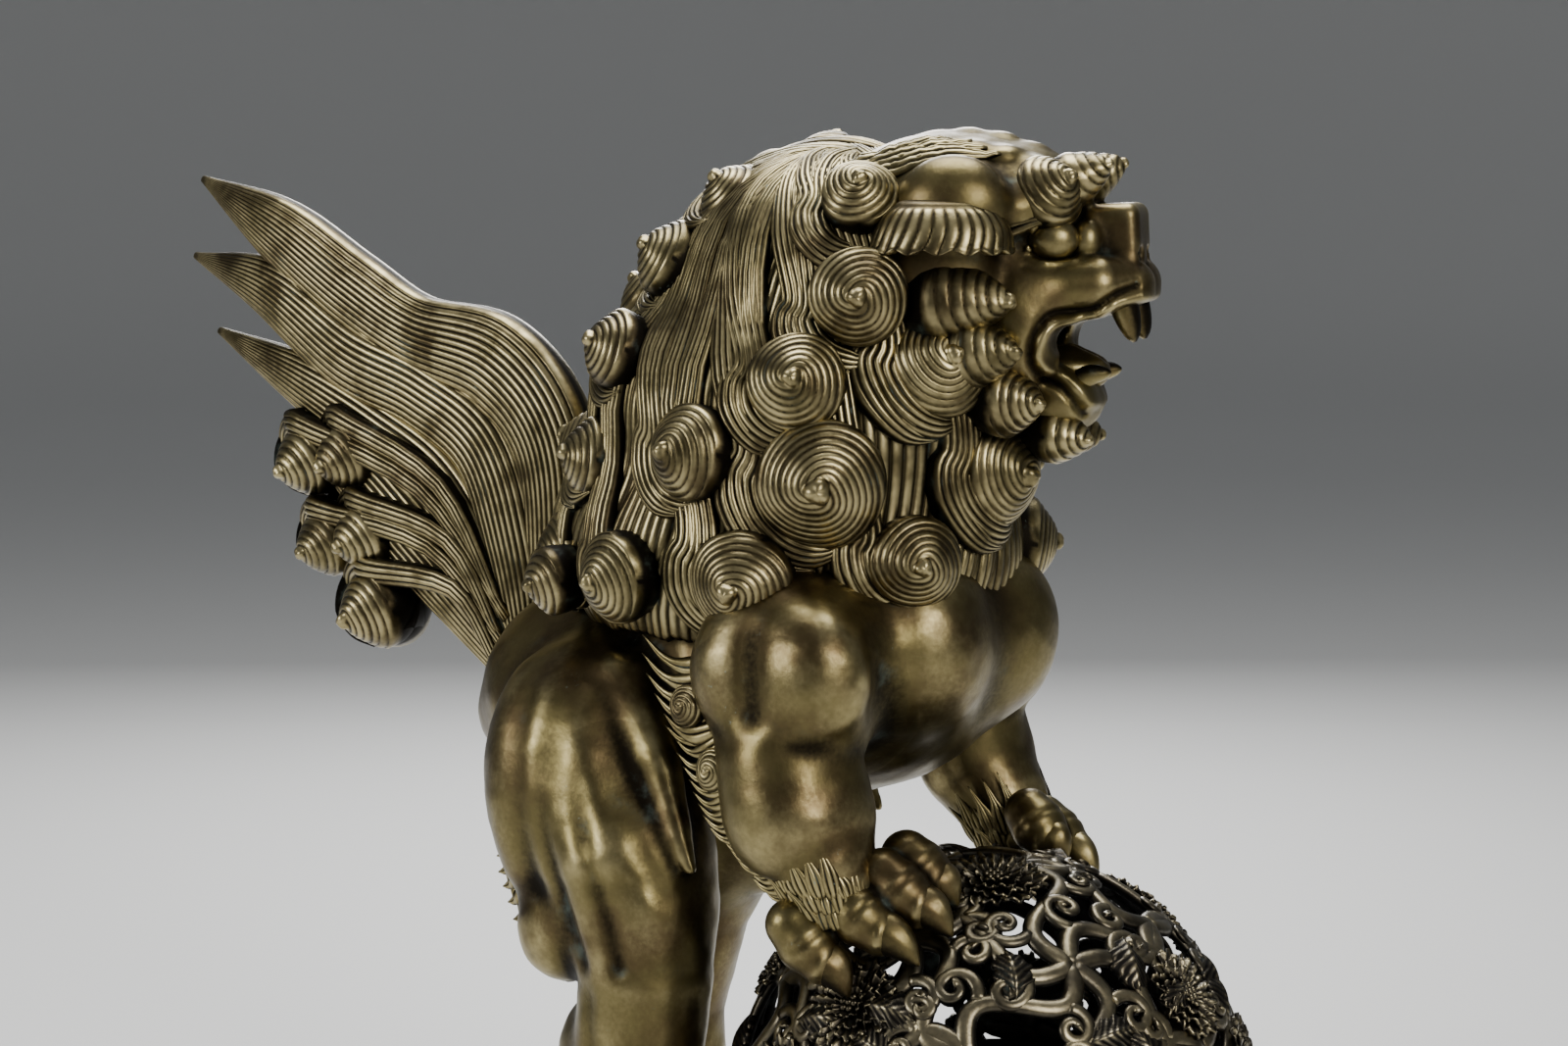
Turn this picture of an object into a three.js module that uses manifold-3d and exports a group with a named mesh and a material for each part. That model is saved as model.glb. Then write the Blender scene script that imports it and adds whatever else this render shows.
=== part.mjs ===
// Guardian lion (foo dog) standing with its front paws on an openwork ball: a hollow bronze made of
// separate castings. Millimetres, +Z up. The lion faces +X and its left side is +Y.
// Every form below is placed from the foot of the ball's vertical axis; the last lines move the whole
// statue so that the origin is the bottom centre of its bounding box.
import * as THREE from "three";
import { mergeVertices } from "three/addons/utils/BufferGeometryUtils.js";
import Module from "manifold-3d";

const wasm = await Module();
wasm.setup();

// Driving dimensions.
const GAP = 0.3; // clearance between neighbouring castings
const WALL = 6; // wall of the body castings
const BALL_RADIUS = 97; // outside of the openwork shell
const BALL_HEIGHT = 95.5; // height of the ball's centre: the foot is cut flat
const BALL_SIDES = 24;
const BALL_WALL = 5;
const NECK_TOP = 360; // height of the flat joint between the body's neck and the head
const MANE_HEM = 272; // height of the mane's lower edge
const HEAD_SEAT = [-35, 0, 400]; // centre of the head, on the neck
const HEAD_YAW = THREE.MathUtils.degToRad(20); // the head looks a little to the lion's left
const TAIL_THICKNESS = 22;
const TAIL_LEAN = THREE.MathUtils.degToRad(30); // the tenon leans back from the vertical
const TENON = { length: 34, width: 16, depth: 12, root: 30 };
const SLEEVE = 4; // wall of the socket that the tenon drops into
const PIN = { radius: 2, length: 16 };

// Bronze as patinated by handling and age, and the darker openwork of the ball.
const bronze = new THREE.MeshStandardMaterial({ color: 0x8a7b4f, roughness: 0.38, metalness: 1 });
const darkBronze = new THREE.MeshStandardMaterial({ color: 0x4a4334, roughness: 0.5, metalness: 1 });
const brass = new THREE.MeshStandardMaterial({ color: 0xa08a50, roughness: 0.4, metalness: 1 });

// --- Solids: three.js geometry in, joined and cut by manifold-3d -------------------------------

function solidOf(geometry) {
  const bare = geometry.index ? geometry.toNonIndexed() : geometry.clone();
  bare.deleteAttribute("normal");
  bare.deleteAttribute("uv");
  const merged = mergeVertices(bare, 1e-4);
  return new wasm.Manifold(
    new wasm.Mesh({
      numProp: 3,
      vertProperties: merged.attributes.position.array,
      triVerts: new Uint32Array(merged.index.array),
    }),
  );
}

function join(geometries) {
  return geometries.map(solidOf).reduce((sum, piece) => sum.add(piece));
}

// The largest body of a cut solid: slivers left by a cut are dropped.
function main(solid) {
  return solid.decompose().sort((a, b) => b.volume() - a.volume())[0];
}

function meshOf(name, solid, material) {
  const mesh = main(solid).getMesh();
  const corners = new Float32Array(mesh.numVert * 3);
  for (let i = 0; i < mesh.numVert; i += 1) {
    corners.set(mesh.vertProperties.subarray(i * mesh.numProp, i * mesh.numProp + 3), i * 3);
  }
  const geometry = new THREE.BufferGeometry();
  geometry.setAttribute("position", new THREE.BufferAttribute(corners, 3));
  geometry.setIndex(new THREE.BufferAttribute(mesh.triVerts, 1));
  geometry.computeVertexNormals();
  return named(name, geometry, material);
}

function named(name, geometry, material) {
  const mesh = new THREE.Mesh(geometry, material);
  mesh.name = name;
  return mesh;
}

// --- Forms ---------------------------------------------------------------------------------------

// An egg-shaped muscle or bone: centre, radii, and its pitch about Y (nose down is positive).
function egg(centre, radii, { grow = 0, pitch = 0, sides = 12 } = {}) {
  const geometry = new THREE.SphereGeometry(1, sides, Math.round(sides * 0.6));
  geometry.rotateX(Math.PI / 2);
  geometry.scale(radii[0] + grow, radii[1] + grow, radii[2] + grow);
  geometry.rotateY(THREE.MathUtils.degToRad(pitch));
  return geometry.translate(...centre);
}

// A tapered capsule from one station to the next; a station is [x, y, z, radius].
function bone(from, to, { grow = 0, sides = 10, cap = 2 } = {}) {
  const start = new THREE.Vector3(...from);
  const along = new THREE.Vector3(...to).sub(start);
  const length = along.length();
  const [foot, head] = [from[3] + grow, to[3] + grow];
  const profile = [];
  for (let i = 0; i <= cap; i += 1) {
    const angle = (Math.PI / 2) * (i / cap);
    profile.push(new THREE.Vector2(foot * Math.sin(angle), -foot * Math.cos(angle)));
  }
  for (let i = cap; i >= 0; i -= 1) {
    const angle = (Math.PI / 2) * (i / cap);
    profile.push(new THREE.Vector2(head * Math.sin(angle), length + head * Math.cos(angle)));
  }
  profile[0].x = 0;
  profile[profile.length - 1].x = 0;
  const geometry = new THREE.LatheGeometry(profile, sides);
  const turn = new THREE.Quaternion().setFromUnitVectors(new THREE.Vector3(0, 1, 0), along.normalize());
  return geometry.applyQuaternion(turn).translate(start.x, start.y, start.z);
}

function limb(stations, options) {
  return stations.slice(1).map((to, i) => bone(stations[i], to, options));
}

// A cone-shaped curl of hair standing on a surface: foot centre, outward direction, radius, height.
function curl(centre, outward, radius, height, sides = 7) {
  const profile = [
    new THREE.Vector2(0, -radius * 0.5),
    new THREE.Vector2(radius, height * 0.1),
    new THREE.Vector2(radius * 0.62, height * 0.7),
    new THREE.Vector2(0, height),
  ];
  const geometry = new THREE.LatheGeometry(profile, sides);
  const turn = new THREE.Quaternion().setFromUnitVectors(
    new THREE.Vector3(0, 1, 0),
    new THREE.Vector3(...outward).normalize(),
  );
  return geometry.applyQuaternion(turn).translate(...centre);
}

const mirrored = (list) => list.map(([x, y, z, ...rest]) => [x, -y, z, ...rest]);

// A block that keeps only what is above the floor.
function belowFloor() {
  return solidOf(new THREE.BoxGeometry(900, 400, 100).translate(-150, 0, -50));
}

// --- Body ----------------------------------------------------------------------------------------

function torsoForms(grow) {
  return [
    egg([-42, 0, 262], [44, 60, 56], { grow }),
    egg([-95, 0, 248], [76, 54, 54], { grow }),
    egg([-150, 0, 246], [60, 48, 44], { grow }),
    egg([-186, 0, 232], [42, 46, 44], { grow }),
    bone([-60, 0, 290, 46], [-50, 0, 342, 38], { grow }),
  ];
}

// Hind legs stand one behind the other; front legs are alike on both sides.
const NEAR_HIND_LEG = {
  haunch: [-146, -54, 206],
  stations: [
    [-118, -62, 186, 35],
    [-116, -62, 138, 27],
    [-122, -63, 96, 25],
    [-142, -64, 40, 21],
  ],
  foot: [-132, -64, 14],
};
const FAR_HIND_LEG = {
  haunch: [-160, 54, 206],
  stations: [
    [-164, 62, 184, 34],
    [-184, 62, 138, 27],
    [-196, 62, 96, 25],
    [-190, 62, 40, 22],
  ],
  foot: [-172, 62, 14],
};
// The left front leg reaches a little less far than the right one.
const RIGHT_FRONT_LEG = {
  stations: [
    [-43, -60, 262, 35],
    [-41, -72, 232, 27],
    [-33, -75, 212, 26],
    [-12, -73, 193, 21],
  ],
  paw: [-8, -69, 182],
  peg: [-4, -66, 165],
};
const LEFT_FRONT_LEG = {
  stations: [
    [-50, 57, 262, 31],
    [-56, 66, 232, 24],
    [-48, 67, 212, 23],
    [-36, 67, 194, 19],
  ],
  paw: [-16, 64, 182],
  peg: [-12, 62, 168],
};

function toes(wrist, spread, reach, drop, radius) {
  return [-1, 0, 1].map((side) =>
    bone(
      [wrist[0], wrist[1] + side * spread * 0.5, wrist[2], radius],
      [wrist[0] + reach, wrist[1] + side * spread, wrist[2] - drop, radius * 0.8],
      { sides: 10, cap: 3 },
    ),
  );
}

function hindLeg(name, { haunch, stations, foot }) {
  const outer = join([
    egg(haunch, [44, 31, 58], { pitch: -8 }),
    ...limb(stations),
    ...toes(foot, 17, 28, 8, 15),
    egg([foot[0] - 8, foot[1], foot[2]], [30, 24, 22]),
  ]);
  const hollow = solidOf(egg([haunch[0], haunch[1] * 0.85, haunch[2]], [24, 26, 24]));
  const torso = join(torsoForms(GAP));
  return meshOf(name, outer.subtract(hollow).subtract(torso).subtract(belowFloor()), bronze);
}

function frontLegForms({ stations, paw }, grow) {
  const [x, y, z] = stations[1];
  return [
    ...limb(stations, { grow }),
    bone(stations[3], [...paw, 20], { grow }),
    ...toes(paw, 16, 17, 10, 12),
    bone([x - 17, y, z + 18, 8], [x - 1, y * 1.08, z - 32, 10], { grow, sides: 8, cap: 2 }),
  ];
}

function frontLeg(name, leg) {
  const [shoulder, elbow] = leg.stations;
  const outer = join(frontLegForms(leg, 0));
  const inside = [shoulder[0], shoulder[1] * 0.83, shoulder[2], shoulder[3] - 2 * WALL];
  const hollow = solidOf(bone(inside, [elbow[0], elbow[1] * 0.95, elbow[2] + 8, elbow[3] - WALL]));
  const ball = solidOf(ballForm(GAP));
  const torso = join(torsoForms(GAP));
  const peg = solidOf(pegGeometry(GAP).translate(...leg.peg));
  return meshOf(
    name,
    outer.subtract(hollow).subtract(torso).subtract(maneBell(GAP)).subtract(ball).subtract(peg),
    bronze,
  );
}

// The solid body up to the flat joint of the neck, grown all round.
function torsoSolid(grow) {
  const above = new THREE.BoxGeometry(200, 200, 60).translate(-50, 0, NECK_TOP + grow + 30);
  return join(torsoForms(grow)).subtract(solidOf(above));
}

function torso() {
  const hollow = join(torsoForms(-WALL));
  const socket = solidOf(tenonBlock(SLEEVE + GAP, -20, 60));
  const pins = join(PIN_PLACES.map((place) => pinAt(place, GAP)));
  return meshOf(
    "torso_casting",
    torsoSolid(0).subtract(hollow).subtract(socket).subtract(pins),
    bronze,
  );
}

// --- Tail, which lifts out of its socket along the leaning tenon ---------------------------------

const TAIL_ROOT = new THREE.Vector3(-216, 0, 252);
const tailTurn = new THREE.Quaternion().setFromAxisAngle(new THREE.Vector3(0, 1, 0), -TAIL_LEAN);

// A block on the tenon's axis, grown all round, between two depths below the tail's root.
function tenonBlock(grow, top, bottom) {
  const geometry = new THREE.BoxGeometry(TENON.width + 2 * grow, TENON.depth + 2 * grow, bottom - top);
  return geometry
    .translate(0, 0, -(top + bottom) / 2)
    .applyQuaternion(tailTurn)
    .translate(TAIL_ROOT.x, TAIL_ROOT.y, TAIL_ROOT.z);
}

function tailOutline() {
  const shape = new THREE.Shape();
  shape.moveTo(-205, 246);
  shape.bezierCurveTo(-196, 290, -180, 330, -196, 356);
  shape.bezierCurveTo(-212, 384, -250, 390, -286, 388);
  shape.bezierCurveTo(-300, 404, -320, 420, -358, 426);
  shape.lineTo(-390, 435);
  shape.lineTo(-384, 414);
  shape.lineTo(-395, 400);
  shape.bezierCurveTo(-386, 392, -378, 386, -374, 378);
  shape.lineTo(-382, 370);
  shape.bezierCurveTo(-364, 356, -354, 336, -330, 322);
  shape.bezierCurveTo(-322, 296, -300, 280, -284, 262);
  shape.bezierCurveTo(-262, 248, -246, 240, -232, 232);
  shape.closePath();
  return shape;
}

const TAIL_CURLS = [
  [-328, 318, 15],
  [-306, 320, 15],
  [-318, 284, 14],
  [-296, 288, 15],
  [-292, 258, 18],
];

function tail() {
  const plume = new THREE.ExtrudeGeometry(tailOutline(), {
    depth: TAIL_THICKNESS - 10,
    bevelSize: 4,
    bevelThickness: 5,
    bevelSegments: 1,
    curveSegments: 6,
  });
  plume.rotateX(Math.PI / 2).translate(0, (TAIL_THICKNESS - 10) / 2, 0);
  const curls = TAIL_CURLS.flatMap(([x, z, r]) =>
    [-1, 1].map((side) => curl([x, side * 7, z], [-0.5, side, -0.35], r, r)),
  );
  const body = solidOf(plume).add(join(curls));
  const clearances = join([...torsoForms(GAP), ...maneForms(8)]);
  return meshOf("tail_plume", body.subtract(clearances).subtract(solidOf(tenonBlock(GAP, -TENON.root, 80))), bronze);
}

function tailTenon() {
  return named("tail_tenon", tenonBlock(0, GAP - TENON.root, TENON.length), brass);
}

function tailSocket() {
  const sleeve = solidOf(tenonBlock(SLEEVE, -20, TENON.length + 2)).intersect(join(torsoForms(0)));
  return meshOf("tail_socket", sleeve.subtract(solidOf(tenonBlock(GAP, -30, 90))), brass);
}

// --- Mane ----------------------------------------------------------------------------------------

function maneForms(grow) {
  return [
    egg([-90, 0, 300], [92, 76, 62], { grow, sides: 14 }),
    egg([-82, 0, 350], [82, 72, 58], { grow, sides: 14 }),
    egg([-64, 0, 396], [66, 58, 52], { grow, sides: 14 }),
    egg([-58, 0, 332], [54, 66, 50], { grow, sides: 14 }),
  ];
}

// Curls on the right side: foot centre, radius. The left side repeats them a little further back,
// because the mane turns with the head.
const MANE_CURLS = [
  [-31, -42, 431, 15],
  [-24, -53, 395, 19],
  [-41, -67, 365, 19],
  [-5, -27, 371, 21],
  [-32, -65, 329, 25],
  [-6, -43, 301, 18],
  [-58, -77, 293, 21],
  [-82, -77, 339, 19],
  [-128, -60, 374, 16],
  [-117, -42, 407, 16],
  [-142, -57, 333, 16],
  [-114, -79, 292, 18],
  [-160, -48, 294, 18],
  [-168, -24, 334, 17],
  [-96, -30, 430, 15],
];
// Curls on the centre line, at the throat and the nape.
const MIDDLE_CURLS = [
  [2, 0, 330, 21],
  [-134, 0, 412, 16],
];

// The solid bell, grown all round, above the hem.
function maneBell(grow) {
  const below = new THREE.BoxGeometry(400, 300, 100).translate(-90, 0, MANE_HEM - grow - 50);
  return join(maneForms(grow)).subtract(solidOf(below));
}

function mane() {
  const curls = [...MANE_CURLS, ...mirrored(MANE_CURLS).map(([x, ...rest]) => [x - 8, ...rest]), ...MIDDLE_CURLS].map(([x, y, z, r]) =>
    curl([x, y, z], [(x + 80) * 0.55, y, (z - 320) * 0.5], r, 14),
  );
  const outer = join([...maneForms(0), ...curls]);
  const inner = join(maneForms(-WALL));
  const below = solidOf(new THREE.BoxGeometry(400, 300, 100).translate(-90, 0, MANE_HEM - 50));
  const shoulders = join([RIGHT_FRONT_LEG, LEFT_FRONT_LEG].flatMap((leg) => frontLegForms(leg, GAP))).subtract(maneBell(0));
  const head = join(
    [...headForms(GAP), ...earForms(3), neckForm(GAP), ...jawForms(GAP)].map((form) => form.applyMatrix4(headPlace)),
  );
  const pins = join(PIN_PLACES.map((place) => pinAt(place, GAP)));
  return meshOf(
    "mane_casting",
    outer.subtract(inner).subtract(below).subtract(join(torsoForms(GAP))).subtract(shoulders).subtract(head)
      .subtract(pins),
    bronze,
  );
}

// --- Head: its own frame has X forward, Y to the lion's left and Z up, at HEAD_SEAT --------------

const headGroup = new THREE.Group();
headGroup.position.set(...HEAD_SEAT);
headGroup.rotation.z = HEAD_YAW;
headGroup.updateMatrix();
const headPlace = headGroup.matrix.clone();

function headForms(grow) {
  return [
    egg([8, 0, 12], [44, 41, 40], { grow }),
    egg([40, 0, 24], [24, 32, 22], { grow }),
    egg([52, 0, 2], [30, 27, 17], { grow }),
    egg([68, 0, 16], [14, 16, 13], { grow, sides: 12 }),
    egg([32, 0, -26], [22, 32, 20], { grow }),
  ];
}

function neckForm(grow) {
  return bone([-14, 6, -56, 30], [-2, 0, -10, 36], { grow });
}

function browForms() {
  return [-1, 1].flatMap((side) => [
    egg([50, side * 18, 31], [11, 11, 10], { sides: 10 }),
    curl([57, side * 20, 34], [1, side * 0.5, 0.5], 9, 12, 8),
  ]);
}

function earForms(grow) {
  return [-1, 1].map((side) => egg([17, side * 44, 26], [23, 11, 18], { grow, sides: 12 }));
}

function torsoInHeadFrame() {
  return torsoSolid(GAP).transform(headPlace.clone().invert().toArray());
}

function head() {
  const mouth = join([
    bone([48, 0, -25, 13], [92, 0, -24, 17], { sides: 12 }),
    egg([62, 0, -14], [22, 19, 9], { sides: 12 }),
  ]);
  const inner = join([egg([2, 0, 6], [24, 24, 24]), bone([-12, 4, -70, 21], [-6, 0, -10, 22])]);
  const outer = join([...headForms(0), ...browForms(), neckForm(0)]);
  const eyes = join([-1, 1].map((side) => eyeForm(side, GAP)));
  const ears = join(earForms(GAP));
  const fangs = join([-1, 1].map((side) => fangForm(side, GAP)));
  return meshOf(
    "head_casting",
    outer.subtract(mouth).subtract(inner).subtract(torsoInHeadFrame()).subtract(eyes).subtract(ears)
      .subtract(fangs).subtract(join(jawForms(GAP))),
    bronze,
  );
}

function jawForms(grow) {
  return [
    bone([30, 0, -48, 15], [60, 0, -46, 11], { grow, sides: 12 }),
    curl([64, 0, -52], [1, 0, -0.5], 10 + grow, 12 + grow, 8),
    curl([52, 0, -58], [0.5, 0, -1], 11 + grow, 10 + grow, 8),
  ];
}

function lowerJaw() {
  const trough = join([egg([58, 0, -34], [22, 9, 8], { sides: 12 })]);
  const fangs = join([-1, 1].map((side) => lowerFangForm(side, GAP)));
  const tongueSeat = solidOf(tongueForm(GAP));
  return meshOf(
    "lower_jaw",
    join(jawForms(0)).subtract(trough).subtract(fangs).subtract(tongueSeat).subtract(torsoInHeadFrame()),
    bronze,
  );
}

function eyeForm(side, grow) {
  return egg([56, side * 20, 15], [10 + grow, 9 + grow, 9 + grow], { sides: 10 });
}

function fangForm(side, grow) {
  const fang = new THREE.LatheGeometry(
    [
      new THREE.Vector2(0, -19 - grow),
      new THREE.Vector2(3.6 + grow, -6),
      new THREE.Vector2(3.4 + grow, 3 + grow),
      new THREE.Vector2(0, 3 + grow),
    ],
    8,
  );
  return fang.rotateX(Math.PI / 2).translate(77, side * 10, -4);
}

function lowerFangForm(side, grow) {
  const fang = new THREE.LatheGeometry(
    [
      new THREE.Vector2(0, -4 - grow),
      new THREE.Vector2(3 + grow, -4 - grow),
      new THREE.Vector2(3 + grow, 3),
      new THREE.Vector2(0, 10 + grow),
    ],
    8,
  );
  return fang.rotateX(Math.PI / 2).translate(63, side * 6.4, -40);
}

function tongueForm(grow) {
  return egg([54, 0, -35], [15 + grow, 5 + grow, 4 + grow], { sides: 10 });
}

// --- Openwork ball, which the lion can be lifted from ----------------------------------------------

// Windows of the openwork, and the blossoms between them: [latitude, longitude of the first, count, radius].
const WINDOW_ROWS = [
  [24, 0, 8, 19],
  [60, 22.5, 4, 17],
];
const BLOSSOMS = [
  ["peony_front", 12, 22.5],
  ["peony_right_front", 14, -67.5],
  ["peony_left_front", 14, 67.5],
  ["peony_right_back", 12, -112.5],
  ["peony_left_back", 12, 112.5],
  ["peony_back", 12, 180 - 22.5],
];
const BLOSSOM = { radius: 19, height: 6 };

function outwardAt(latitude, longitude) {
  const [lat, lon] = [THREE.MathUtils.degToRad(latitude), THREE.MathUtils.degToRad(longitude)];
  return new THREE.Vector3(Math.cos(lat) * Math.cos(lon), Math.cos(lat) * Math.sin(lon), Math.sin(lat));
}

function onBall(outward, radius) {
  return outward.clone().multiplyScalar(radius).add(new THREE.Vector3(0, 0, BALL_HEIGHT));
}

function ballForm(grow) {
  return egg([0, 0, BALL_HEIGHT], Array(3).fill(BALL_RADIUS), { grow, sides: BALL_SIDES });
}

function ballShell(name, side) {
  const windows = WINDOW_ROWS.flatMap(([latitude, first, count, size]) =>
    Array.from({ length: count }, (_, i) => {
      const outward = outwardAt(side * latitude, first + (360 / count) * i);
      const window = new THREE.CylinderGeometry(size, size * 0.8, 30, 8);
      const turn = new THREE.Quaternion().setFromUnitVectors(new THREE.Vector3(0, 1, 0), outward);
      return window.applyQuaternion(turn).translate(...onBall(outward, BALL_RADIUS).toArray());
    }),
  );
  const otherHalf = new THREE.BoxGeometry(260, 260, 130).translate(0, 0, BALL_HEIGHT + side * (-65 + GAP / 2));
  return meshOf(
    name,
    solidOf(ballForm(0))
      .subtract(solidOf(ballForm(-BALL_WALL)))
      .subtract(join(windows))
      .subtract(solidOf(otherHalf))
      .subtract(belowFloor()),
    darkBronze,
  );
}

function seamRing() {
  const [outer, inner, half] = [BALL_RADIUS - BALL_WALL - 1.2, BALL_RADIUS - BALL_WALL - 4, 4];
  const profile = [[inner, -half], [outer, -half], [outer, half], [inner, half], [inner, -half]];
  const ring = new THREE.LatheGeometry(profile.map(([r, z]) => new THREE.Vector2(r, z)), BALL_SIDES);
  return named("ball_seam_ring", ring.rotateX(Math.PI / 2).translate(0, 0, BALL_HEIGHT), darkBronze);
}

function peony(name, latitude, longitude) {
  const profile = [[0, 0], [BLOSSOM.radius, 0], [BLOSSOM.radius * 0.9, 3], [9, BLOSSOM.height], [0, BLOSSOM.height]];
  const blossom = new THREE.LatheGeometry(profile.map(([r, h]) => new THREE.Vector2(r, h)), 12);
  const outward = outwardAt(latitude, longitude);
  const turn = new THREE.Quaternion().setFromUnitVectors(new THREE.Vector3(0, 1, 0), outward);
  const mesh = named(name, blossom, darkBronze);
  mesh.quaternion.copy(turn);
  mesh.position.copy(onBall(outward, BALL_RADIUS + GAP));
  return mesh;
}

// Pegs stand up from the ball into holes under the front paws, so that the ball cannot roll.
function pegGeometry(grow) {
  return new THREE.CylinderGeometry(3 + grow, 3 + grow, 14 + 2 * grow, 10).rotateX(Math.PI / 2);
}

function pawPeg(name, place) {
  const shell = solidOf(ballForm(GAP));
  const peg = solidOf(pegGeometry(0).translate(...place));
  return meshOf(name, peg.subtract(shell), brass);
}

// --- Pins that hold the mane to the shoulders: foot and outward direction ------------------------

const PIN_PLACES = [
  ["front_mane_pin_right", [-84, -58, 283], [0.1, -1, 0.1]],
  ["front_mane_pin_left", [-84, 58, 283], [0.1, 1, 0.1]],
  ["rear_mane_pin_right", [-130, -56, 282], [-0.1, -1, 0.1]],
  ["rear_mane_pin_left", [-130, 56, 282], [-0.1, 1, 0.1]],
];

function pinAt([, foot, outward], grow) {
  const pin = new THREE.CylinderGeometry(PIN.radius + grow, PIN.radius + grow, PIN.length, 8);
  const turn = new THREE.Quaternion().setFromUnitVectors(
    new THREE.Vector3(0, 1, 0),
    new THREE.Vector3(...outward).normalize(),
  );
  return pin.applyQuaternion(turn).translate(...foot);
}

// --- Assembly --------------------------------------------------------------------------------------

const statue = new THREE.Group();
statue.add(
  torso(),
  frontLeg("right_front_leg", RIGHT_FRONT_LEG),
  frontLeg("left_front_leg", LEFT_FRONT_LEG),
  hindLeg("right_hind_leg", NEAR_HIND_LEG),
  hindLeg("left_hind_leg", FAR_HIND_LEG),
  mane(),
  tail(),
  tailTenon(),
  tailSocket(),
  ballShell("ball_upper_shell", 1),
  ballShell("ball_lower_shell", -1),
  seamRing(),
  ...BLOSSOMS.map((blossom) => peony(...blossom)),
  pawPeg("right_paw_peg", RIGHT_FRONT_LEG.peg),
  pawPeg("left_paw_peg", LEFT_FRONT_LEG.peg),
  ...PIN_PLACES.map((place) => named(place[0], pinAt(place, 0), brass)),
);
headGroup.add(head(), lowerJaw(), named("tongue", tongueForm(0), bronze));
[["right", -1], ["left", 1]].forEach(([word, side], i) => {
  headGroup.add(
    named(`${word}_ear`, earForms(0)[i], bronze),
    named(`${word}_eye`, eyeForm(side, 0), brass),
    named(`${word}_upper_fang`, fangForm(side, 0), bronze),
    named(`${word}_lower_fang`, lowerFangForm(side, 0), bronze),
  );
});
statue.add(headGroup);

const box = new THREE.Box3().setFromObject(statue);
const middle = box.getCenter(new THREE.Vector3());
statue.position.set(-middle.x, -middle.y, -box.min.z);

export default statue;
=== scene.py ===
"""Bronze guardian lion with its front paws on an openwork ball: the visual model and its studio.

Every form is laid out in the workshop frame: millimetres, origin on the ground under the middle of the
ball, X the way the lion faces, Y to its left, Z up. Workshop.row() takes it to the row frame in metres.
"""
import logging
import math
from dataclasses import dataclass, field
from enum import Enum
from itertools import combinations
from typing import Iterable, Sequence

import bpy
import numpy as np
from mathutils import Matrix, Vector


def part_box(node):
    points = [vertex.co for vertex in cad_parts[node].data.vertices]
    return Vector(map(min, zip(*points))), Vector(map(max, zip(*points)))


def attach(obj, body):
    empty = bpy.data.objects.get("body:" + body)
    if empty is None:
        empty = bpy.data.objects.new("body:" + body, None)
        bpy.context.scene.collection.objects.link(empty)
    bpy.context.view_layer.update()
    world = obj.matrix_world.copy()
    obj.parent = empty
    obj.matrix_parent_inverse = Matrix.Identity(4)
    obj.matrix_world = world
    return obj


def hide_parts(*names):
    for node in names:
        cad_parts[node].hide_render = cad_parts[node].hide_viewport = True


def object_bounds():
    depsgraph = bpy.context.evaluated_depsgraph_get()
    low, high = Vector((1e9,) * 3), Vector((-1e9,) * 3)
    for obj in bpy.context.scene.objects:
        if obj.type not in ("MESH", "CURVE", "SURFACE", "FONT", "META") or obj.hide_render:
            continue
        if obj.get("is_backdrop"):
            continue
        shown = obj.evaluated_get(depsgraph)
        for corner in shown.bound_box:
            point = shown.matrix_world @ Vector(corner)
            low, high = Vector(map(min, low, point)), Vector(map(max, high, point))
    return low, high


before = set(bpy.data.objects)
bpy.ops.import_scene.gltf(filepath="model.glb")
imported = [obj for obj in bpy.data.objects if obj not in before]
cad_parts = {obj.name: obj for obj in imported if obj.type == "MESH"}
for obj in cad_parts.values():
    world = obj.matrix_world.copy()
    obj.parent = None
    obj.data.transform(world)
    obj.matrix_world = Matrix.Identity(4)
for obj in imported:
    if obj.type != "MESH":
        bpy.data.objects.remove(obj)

import openvdb
from mathutils import Vector

Array = np.ndarray
Vec = Sequence[float]
Point = tuple[float, float, float]
TAU = 2.0 * math.pi
LOG = logging.getLogger("foo_dog")


class Body(Enum):
    """The CAD bodies that pieces ride on."""

    STATUE = "statue"
    TAIL = "tail"
    BALL = "ball"


class Side(Enum):
    """The lion's own sides; the value is the sign of Y."""

    RIGHT = -1
    LEFT = 1

    @property
    def word(self) -> str:
        """The side's name as it stands in piece names."""
        return self.name.lower()


# --- Small mathematics ---------------------------------------------------------------------------


def unit(vectors: Array) -> Array:
    """Vectors of length one.

    Args:
        vectors: One vector, or rows of vectors.

    Returns:
        The same array, scaled row by row.
    """
    vectors = np.asarray(vectors, float)
    return vectors / np.maximum(np.linalg.norm(vectors, axis=-1, keepdims=True), 1e-9)


def ease(t: Array) -> Array:
    """The smooth step from 0 to 1 of t, which is clipped to that range."""
    t = np.clip(t, 0.0, 1.0)
    return t * t * (3.0 - 2.0 * t)


def spline(knots: Sequence[Vec], count: int) -> Array:
    """A smooth curve through knots.

    Args:
        knots: Points that the curve passes through.
        count: How many points to return.

    Returns:
        count points, spread evenly over the knots (Catmull-Rom).
    """
    k = np.asarray(knots, float)
    k = np.vstack([2 * k[0] - k[1], k, 2 * k[-1] - k[-2]])
    t = np.linspace(0, len(k) - 3 - 1e-6, count)
    i = t.astype(int)
    f = (t - i)[:, None]
    a, b, c, d = k[i], k[i + 1], k[i + 2], k[i + 3]
    return 0.5 * (2 * b + (c - a) * f + (2 * a - 5 * b + 4 * c - d) * f**2 + (3 * b - a - 3 * c + d) * f**3)


def ramp(stops: Sequence[tuple[float, float]], t: Array) -> Array:
    """Values read off a list of (position, value) stops at the positions t."""
    x, y = zip(*stops)
    return np.interp(t, x, y)


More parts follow.
